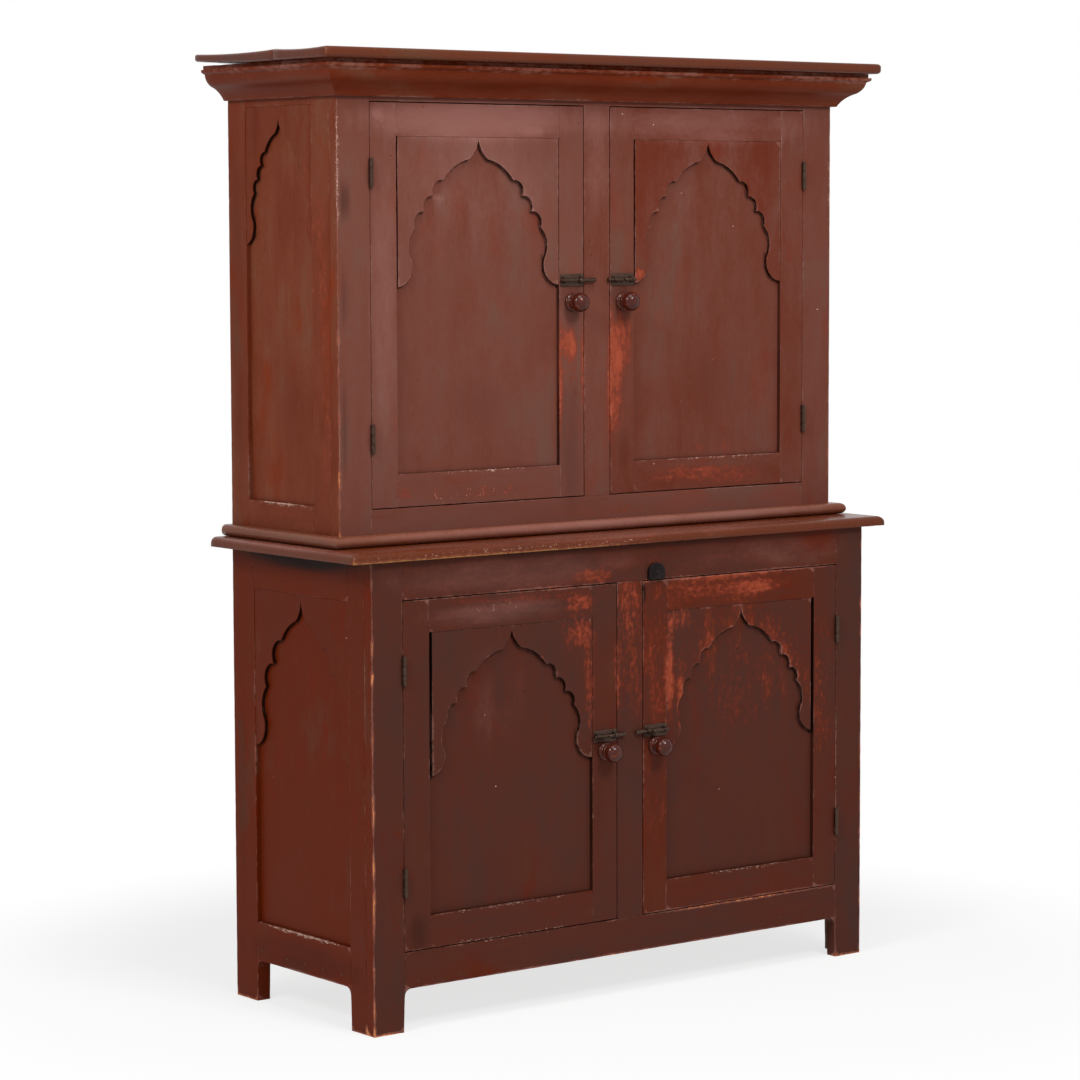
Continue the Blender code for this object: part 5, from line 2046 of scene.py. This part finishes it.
@dataclass
class TurnButton:
    """The turn button on the lower case's top rail, on a nail."""

    finishes: Finishes
    nail_proud: float = 0.0015
    nail_sunk: float = 0.0002
    nail_radius: float = 0.0045
    nail_below_top: float = 0.0195
    soft: float = 0.0018

    def build(self) -> None:
        """Cuts the button, rounds it and drives its nail."""
        box = Box.of("turn_button")
        front, back = box.low.y + self.nail_proud, min(box.high.y, WEAR_MAP.lower_front - FIT_GAP)
        middle, shoulder = box.middle().x, box.high.z - (box.high.z - box.low.z) / 2
        shape = Outline(box.low.x, box.low.z).line(box.high.x, box.low.z).line(box.high.x, shoulder)
        shape.arc(middle, box.high.z, QUARTER_RISE).arc(box.low.x, shoulder, QUARTER_RISE)
        bm = shape.slab(front, back)
        soften(bm, self.soft, 3)
        screw(bm, (middle, front + self.nail_sunk, box.high.z - self.nail_below_top), self.nail_radius)
        tidy(bm)
        piece = Piece("turn_button_block", "turn_button", ("turn_button",), "slate_button")
        piece.place(bm, self.finishes.slate)


@dataclass
class Nails:
    """Nail heads that show in the paint of the lower case, by their places across and up."""

    finishes: Finishes
    radius: float = 0.0024
    sunk: float = 0.0003
    front: tuple = (
        (-0.526, 0.096), (-0.424, 0.094), (-0.305, 0.097), (-0.178, 0.096), (0.402, 0.104), (0.475, 0.093)
    )
    side: tuple = ((0.170, 0.104), (0.080, 0.103), (0.015, 0.104), (-0.045, 0.104), (-0.110, 0.104))

    def build(self) -> None:
        """Drives the heads into the bottom rails' faces."""
        bm = bmesh.new()
        for across, up in self.front:
            screw(bm, (across, WEAR_MAP.lower_front + self.sunk, up), self.radius)
        for across, up in self.side:
            screw(bm, (WEAR_MAP.left_wall + self.sunk, across, up), self.radius, Facing.LEFT)
        Piece("rail_nails", "case", (), "wrought_iron").place(bm, self.finishes.iron)


# The studio


@dataclass
class Studio:
    """The camera at the photograph's angle, the pale floor and the soft lights."""

    place: Triple = (-4.4006, -5.6163, 1.5566)
    azimuth: float = 37.7147
    pitch: float = 5.2307
    roll: float = -0.1695
    lens: float = 116.7276
    sensor: float = 36.0
    floor_size: float = 14.0
    floor_grey: float = 0.92
    # How far from the middle the floor starts and ends to fade to white, and how white it is before.
    fade_from: float = 0.85
    fade_to: float = 1.55
    veil: float = 0.74
    sky: float = 0.28
    # Each lamp's name, place, target, size and power.
    lamps: tuple = (
        ("left_softbox", (-4.2, -1.3, 3.9), (-0.6, 0.05, 1.0), 1.5, 112.0),
        ("front_softbox", (-0.2, -3.9, 4.3), (0.0, -0.2, 1.1), 1.3, 126.0),
        ("top_softbox", (-0.6, -1.6, 4.4), (0.0, 0.0, 0.9), 1.6, 36.0),
    )

    def build(self) -> None:
        """Sets up the camera, the world, the floor and the lamps."""
        bpy.context.scene.view_settings.view_transform = "Standard"
        self.set_camera()
        self.set_world()
        self.lay_floor()
        for name, place, target, size, power in self.lamps:
            lamp = bpy.data.lights.new(name, "AREA")
            lamp.shape, lamp.size, lamp.energy = "SQUARE", size, power
            holder = new_object(name, lamp)
            holder.location = place
            way = Vector(target) - Vector(place)
            holder.rotation_euler = way.to_track_quat("-Z", "Y").to_euler()

    def set_camera(self) -> None:
        """Puts the camera where the photograph was taken from."""
        azimuth, pitch, roll = (math.radians(angle) for angle in (self.azimuth, self.pitch, self.roll))
        flat = math.cos(pitch)
        ahead = Vector((math.sin(azimuth) * flat, math.cos(azimuth) * flat, -math.sin(pitch)))
        level = Vector((math.cos(azimuth), -math.sin(azimuth), 0))
        upright = level.cross(ahead)
        right = level * math.cos(roll) + upright * math.sin(roll)
        up = upright * math.cos(roll) - level * math.sin(roll)
        data = bpy.data.cameras.new("studio_camera")
        data.lens, data.sensor_width, data.sensor_fit = self.lens, self.sensor, "HORIZONTAL"
        camera = new_object("studio_camera", data)
        turn = Matrix((right, up, -ahead)).transposed().to_4x4()
        camera.matrix_world = Matrix.Translation(self.place) @ turn
        bpy.context.scene.camera = camera

    def seen(self, tree: Tree) -> Socket:
        """Whether a ray comes from the camera, a reflection or glass.

        Args:
            tree: the node tree.

        Returns:
            A socket that is 1 for such a ray.
        """
        total = add_node(tree, "LightPath", {}, "Is Camera Ray")
        for name in ("Is Glossy Ray", "Is Transmission Ray"):
            other = add_node(tree, "LightPath", {}, name)
            total = add_node(tree, "Math", {0: total, 1: other}, operation="MAXIMUM")
        return total

    def set_world(self) -> None:
        """A white surround that lights the object softly."""
        world = bpy.data.worlds.new("studio_world")
        bpy.context.scene.world = world
        world.use_nodes = True
        tree = world.node_tree
        inputs = {"Value": self.seen(tree), "To Min": self.sky, "To Max": 1.0}
        strength = add_node(tree, "MapRange", inputs)
        feed(tree, tree.nodes["Background"], {"Color": WHITE, "Strength": strength})

    def lay_floor(self) -> None:
        """A pale floor that keeps the object's shadow and fades to white away from it."""
        material = bpy.data.materials.new("studio_floor")
        material.use_nodes = True
        tree = material.node_tree
        tree.nodes.remove(tree.nodes["Principled BSDF"])
        paper = add_node(tree, "BsdfDiffuse", {"Color": (*[self.floor_grey] * 3, 1)})
        white = add_node(tree, "Emission", {"Color": WHITE, "Strength": 1.0})
        place = add_node(tree, "TexCoord", {}, "Object")
        far = add_node(tree, "VectorMath", {0: place}, "Value", operation="LENGTH")
        span = {"Value": far, "From Min": self.fade_from, "From Max": self.fade_to, "To Min": self.veil}
        fade = add_node(tree, "MapRange", span, interpolation_type="SMOOTHSTEP")
        amount = add_node(tree, "Math", {0: fade, 1: self.seen(tree)}, operation="MULTIPLY")
        mixed = add_node(tree, "MixShader", {0: amount, 1: paper, 2: white})
        feed(tree, tree.nodes["Material Output"], {"Surface": mixed})
        bm = bmesh.new()
        bmesh.ops.create_grid(bm, x_segments=1, y_segments=1, size=self.floor_size / 2)
        mesh = bpy.data.meshes.new("studio_floor")
        bm.to_mesh(mesh)
        bm.free()
        mesh.materials.append(material)
        new_object("studio_floor", mesh)


def main() -> None:
    """Builds the whole scene, piece by piece."""
    logging.basicConfig(level=logging.INFO, format="%(name)s: %(message)s")
    Studio().build()
    finishes = Finishes()
    # The tones of each case's front, sides and right door: the lower case is darker than the upper.
    tones = {"lower": (0.22, 0.45, 0.26), "upper": (0.88, 0.72, 0.75)}
    gaps = {
        "lower_left": Shrinkage(0.0076, 0.0006),
        "lower_right": Shrinkage(0.0006, 0.0076),
        "upper_left": Shrinkage(0.0036, 0.0012),
        "upper_right": Shrinkage(0.0040, 0.0006),
    }
    for case, (front_tone, side_tone, right_door_tone) in tones.items():
        FaceFrame(case, finishes, front_tone, side_tone).build()
        for side in Side:
            SideFrame(case, side, finishes, side_tone).build()
            tone = front_tone if side is Side.LEFT else right_door_tone
            Door(case, side, finishes, tone, gaps[f"{case}_{side.word}"]).build()
    Counter(finishes).build()
    # The waist moulding's lighter tone also paints in the sheen of its nose
    Moulding("waist_moulding", finishes, 0.84, "polished").build()
    Moulding("crown_moulding", finishes, 0.66, "sheltered").build()
    Cornice(finishes).build()
    InnerBoards(finishes).build()
    TurnButton(finishes).build()
    Nails(finishes).build()


if __name__ == "__main__":
    main()
